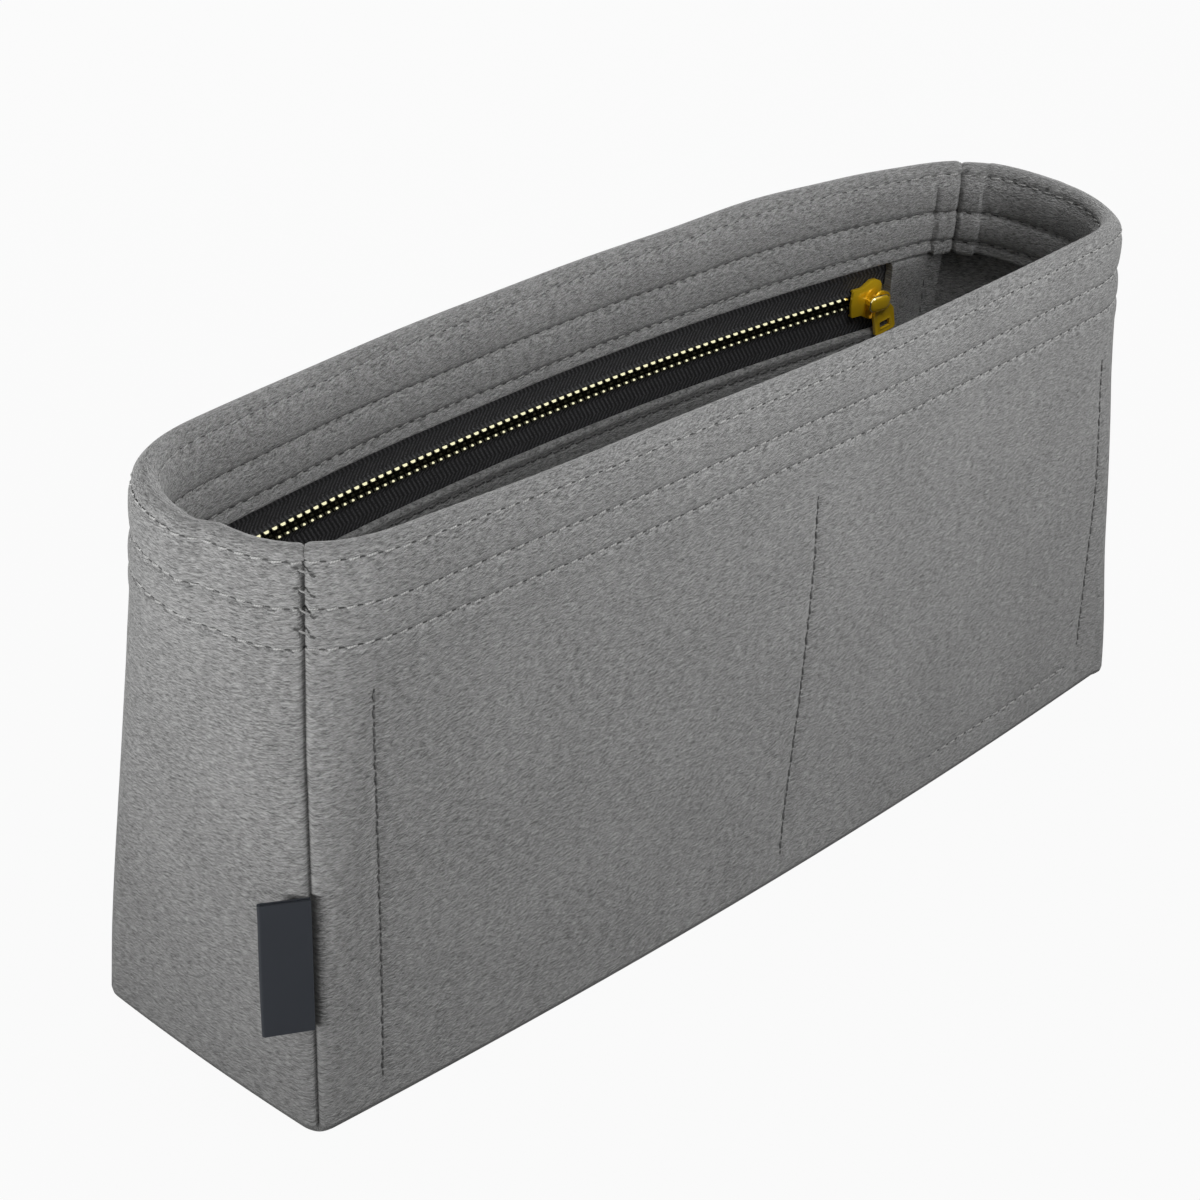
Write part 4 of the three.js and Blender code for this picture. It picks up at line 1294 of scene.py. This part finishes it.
class INSERT_OT_slider(bpy.types.Operator):
    """Finish the brass slider, its bail and pull, and the stops of the chain"""

    bl_idname = "insert.slider"
    bl_label = "Slider and Stops"

    def execute(self, context):
        lacquer = slider_brass()
        metal_copy("slider_body", "slider_casting", lacquer, "slider", width=0.22)
        # The bail's eased edges get pale brass as painted highlight
        metal_copy("slider_bail", "slider_saddle", lacquer, "slider", width=0.3,
                   edge_highlight=edge_highlight_brass())
        metal_copy("pull_tab", "pull_plate", lacquer, "pull", width=0.15,
                   sunk=(0.55, 0.22))
        for cad in ("upper_top_stop", "lower_top_stop", "bottom_stop"):
            metal_copy(cad, cad + "_crimp", teeth_brass(), "tub", width=0.2)
        return {"FINISHED"}


class INSERT_OT_label(bpy.types.Operator):
    """Fold the bare woven label that stands out of the seam"""

    bl_idname = "insert.label"
    bl_label = "Side Label"

    def execute(self, context):
        low, high = (v.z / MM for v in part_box("side_label"))
        width = sizes().label_width / MM
        slit = LABEL_SLIT
        half = LABEL_THICK + slit / 2
        reach = np.array(LABEL_REACH)
        reach /= np.linalg.norm(reach)
        across = np.array([-reach[1], reach[0]])
        straight = np.linspace(0, width - half, 12)
        bend = np.linspace(-math.pi / 2, math.pi / 2, 11)[1:-1]
        outline = [(a, -half) for a in straight]
        outline += [(width - half + half * math.cos(r), half * math.sin(r)) for r in bend]
        outline += [(a, half) for a in straight[::-1]] + [(a, slit / 2) for a in straight]
        outline += [(a, -slit / 2) for a in straight[::-1]]
        a, b = np.array(outline).T
        z = np.linspace(low, high, 28)
        seam = place(0.5 + 0 * z, z, -half - CLEAR)
        bow = LABEL_BOW * np.sin((z - low) / (high - low) * math.pi)
        bow = bow + LABEL_RIPPLE * np.sin((z - low) / 6.5)
        off = -np.abs(bow)[:, None] * (a[None, :] / width) ** 2
        x = seam[:, None, 0] + reach[0] * a[None, :] + across[0] * (b[None, :] + off)
        y = seam[:, None, 1] + reach[1] * a[None, :] + across[1] * (b[None, :] + off)
        points = np.stack(np.broadcast_arrays(x, y, z[:, None]), -1)
        run = np.concatenate([[0], np.cumsum(np.hypot(np.diff(a), np.diff(b)))])
        uv = np.stack(np.broadcast_arrays(run[None, :], z[:, None]), -1)
        faces = ring_faces(len(z), len(a))
        piece = new_piece("label_loop", points, faces, satin_material(), uv)
        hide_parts("side_label")
        return {"FINISHED"}


class INSERT_OT_stitching(bpy.types.Operator):
    """Sew the hem, the pockets and the corner seams"""

    bl_idname = "insert.stitching"
    bl_label = "Stitching"

    def execute(self, context):
        outside = Needle(11)
        inside = Needle(12)
        for start in (0, 4):
            for below in ROWS_BELOW_RIM:
                row = HEIGHT - below
                ways = np.linspace(start + 0.5, start + 4.5, 700)
                outside.sew(*wall_point(ways, row, start, False))
                inside.sew(*wall_point(ways, row, start, True))
        seam = Needle(15)
        for z in HEIGHT - np.array(SEAM_STITCHES_BELOW_RIM):
            points = np.stack([seam_point(z + 0.9, -1.6), seam_point(z, 0), seam_point(z - 0.9, 1.6)])
            normals = np.repeat(edge(0.5, z)[None, 2:], 3, 0)
            seam.sew(points, np.concatenate([normals, 0 * normals[:, :1]], 1), 3.7)
        # The seam's thread is the hem thread darkened to 0.6, painted shade of the seam's groove
        shaded = thread_material("seam_thread", scaled(colours().thread, 0.6))
        seam.finish("seam_stitches", shaded)
        pale = thread_material("hem_thread", tuple(colours().thread))
        outside.finish("hem_stitches_outside", pale)
        inside.finish("hem_stitches_inside", pale)
        foot = Needle(16)
        x = np.linspace(*FOOT_ROW_ENDS, 100)
        foot.sew(*wall_point(way_at(x, FOOT_ROW, False), FOOT_ROW, 0, False))
        foot.finish("foot_stitches", pale)
        pockets = Needle(13)
        lining = Needle(14)
        for k, ends in enumerate(POCKET_SEAMS):
            z = np.linspace(*ends, 120)
            x = pocket_lines(z)[k]
            pockets.sew(*wall_point(way_at(x, z, False), z, 0, False))
            lining.sew(*lining_point(x, z, slip_face, False))
        for k in (0, 1):
            z = np.linspace(*ZIP_POCKET_SEAM, 120)
            x = zip_pocket_lines(z)[k]
            pockets.sew(*wall_point(way_at(x, z, True), z, 4, False))
            lining.sew(*lining_point(x, z, panel_face, True))
        x = np.linspace(-WINDOW_HALF + 4, WINDOW_HALF - 4, 300)
        lining.sew(*lining_point(x, 0 * x + sill_z() - SILL_ROW, panel_face, True))
        dim = thread_material("pocket_thread", tuple(colours().pocket_thread))
        pockets.finish("pocket_stitches_outside", dim)
        lining.finish("pocket_stitches_inside", dim)
        return {"FINISHED"}


class INSERT_OT_stage(bpy.types.Operator):
    """Set the pale floor, the soft lights and the camera"""

    bl_idname = "insert.stage"
    bl_label = "Stage"

    def execute(self, context):
        scene = context.scene
        bpy.ops.object.select_all(action="DESELECT")
        bpy.ops.mesh.primitive_plane_add(size=8, location=(0, 0, 0))
        floor = context.object
        floor.name = "pale_floor"
        floor.data.materials.append(floor_material())
        scene.world = scene.world or bpy.data.worlds.new("studio")
        studio_world(scene.world)
        for name, spot, aim, size, power in LAMPS:
            lamp = bpy.data.lights.new(name, "AREA")
            lamp.energy = power
            lamp.size = size
            lamp_object = bpy.data.objects.new(name, lamp)
            lamp_object.location = spot
            lamp_object.rotation_euler = (Vector(aim) - Vector(spot)).to_track_quat("-Z", "Y").to_euler()
            lamp_object.visible_camera = False
            scene.collection.objects.link(lamp_object)
        azimuth, elevation, roll = (math.radians(v) for v in CAMERA_TURN)
        back = Vector((math.sin(azimuth) * math.cos(elevation), -math.cos(azimuth) * math.cos(elevation),
                       math.sin(elevation)))
        right = Vector((0, 0, 1)).cross(back).normalized()
        up = back.cross(right)
        turned = math.cos(roll) * right + math.sin(roll) * up
        raised = -math.sin(roll) * right + math.cos(roll) * up
        lens = bpy.data.cameras.new("photo_camera")
        lens.sensor_width = CAMERA_SENSOR
        lens.lens = CAMERA_LENS
        camera = bpy.data.objects.new("photo_camera", lens)
        turn = Matrix((turned, raised, back)).transposed().to_4x4()
        camera.matrix_world = Matrix.Translation(CAMERA_AIM + back * CAMERA_AWAY) @ turn
        scene.collection.objects.link(camera)
        scene.camera = camera
        scene.view_settings.view_transform = "Standard"
        return {"FINISHED"}


def seen_white(tree):
    """1 for rays that see the backdrop: from the camera, in gloss or through glass."""
    path = node(tree, "ShaderNodeLightPath")
    seen = calc(tree, "MAXIMUM", path.outputs["Is Camera Ray"], path.outputs["Is Glossy Ray"])
    return calc(tree, "MAXIMUM", seen, path.outputs["Is Transmission Ray"])


def floor_material():
    """Pale floor that is seen almost white and keeps a faint shadow."""
    made, tree, shader = new_material("pale_floor")
    place_of = node(tree, "ShaderNodeTexCoord")
    noise = node(tree, "ShaderNodeTexNoise", {"Vector": place_of.outputs["Object"], "Scale": 40.0})
    tinted(tree, shader, noise.outputs[0], (0.1, 0.1, 0.1), (0.12, 0.12, 0.12))
    set_inputs(shader, Roughness=0.9)
    glow = node(tree, "ShaderNodeEmission", {"Color": (1, 1, 1, 1), "Strength": 1.0})
    mix = node(tree, "ShaderNodeMixShader", {0: calc(tree, "MULTIPLY", seen_white(tree), 0.95)})
    tree.links.new(shader.outputs[0], mix.inputs[1])
    tree.links.new(glow.outputs[0], mix.inputs[2])
    tree.links.new(mix.outputs[0], tree.nodes["Material Output"].inputs["Surface"])
    return made


def studio_world(world):
    """A soft grey dome that is seen white."""
    world.use_nodes = True
    tree = world.node_tree
    tree.nodes.clear()
    dome = node(tree, "ShaderNodeBackground", {"Color": (1, 1, 1, 1), "Strength": 0.26})
    white = node(tree, "ShaderNodeBackground", {"Color": (1, 1, 1, 1), "Strength": 1.0})
    mix = node(tree, "ShaderNodeMixShader", {0: seen_white(tree)})
    tree.links.new(dome.outputs[0], mix.inputs[1])
    tree.links.new(white.outputs[0], mix.inputs[2])
    out = node(tree, "ShaderNodeOutputWorld")
    tree.links.new(mix.outputs[0], out.inputs["Surface"])


PIECES = (
    INSERT_OT_walls,
    INSERT_OT_base,
    INSERT_OT_pockets,
    INSERT_OT_tapes,
    INSERT_OT_teeth,
    INSERT_OT_slider,
    INSERT_OT_label,
    INSERT_OT_stitching,
    INSERT_OT_stage,
)


class INSERT_PT_panel(bpy.types.Panel):
    """Lists the pieces of the insert with their sizes and colours"""

    bl_idname = "INSERT_PT_panel"
    bl_label = "Felt Purse Insert"
    bl_space_type = "VIEW_3D"
    bl_region_type = "UI"
    bl_category = "Insert"

    def draw(self, context):
        for group in (context.scene.insert_sizes, context.scene.insert_colours):
            box = self.layout.box()
            for key in group.__annotations__:
                box.prop(group, key)
        for piece in PIECES:
            self.layout.operator(piece.bl_idname)


CLASSES = (InsertSizes, InsertColours, *PIECES, INSERT_PT_panel)


def register():
    for cls in CLASSES:
        bpy.utils.register_class(cls)
    bpy.types.Scene.insert_sizes = bpy.props.PointerProperty(type=InsertSizes)
    bpy.types.Scene.insert_colours = bpy.props.PointerProperty(type=InsertColours)


def unregister():
    del bpy.types.Scene.insert_colours
    del bpy.types.Scene.insert_sizes
    for cls in reversed(CLASSES):
        bpy.utils.unregister_class(cls)


def main():
    register()
    bpy.ops.insert.walls()
    bpy.ops.insert.base()
    bpy.ops.insert.pockets()
    bpy.ops.insert.tapes()
    bpy.ops.insert.teeth()
    bpy.ops.insert.slider()
    bpy.ops.insert.label()
    bpy.ops.insert.stitching()
    bpy.ops.insert.stage()


if __name__ == "__main__":
    main()
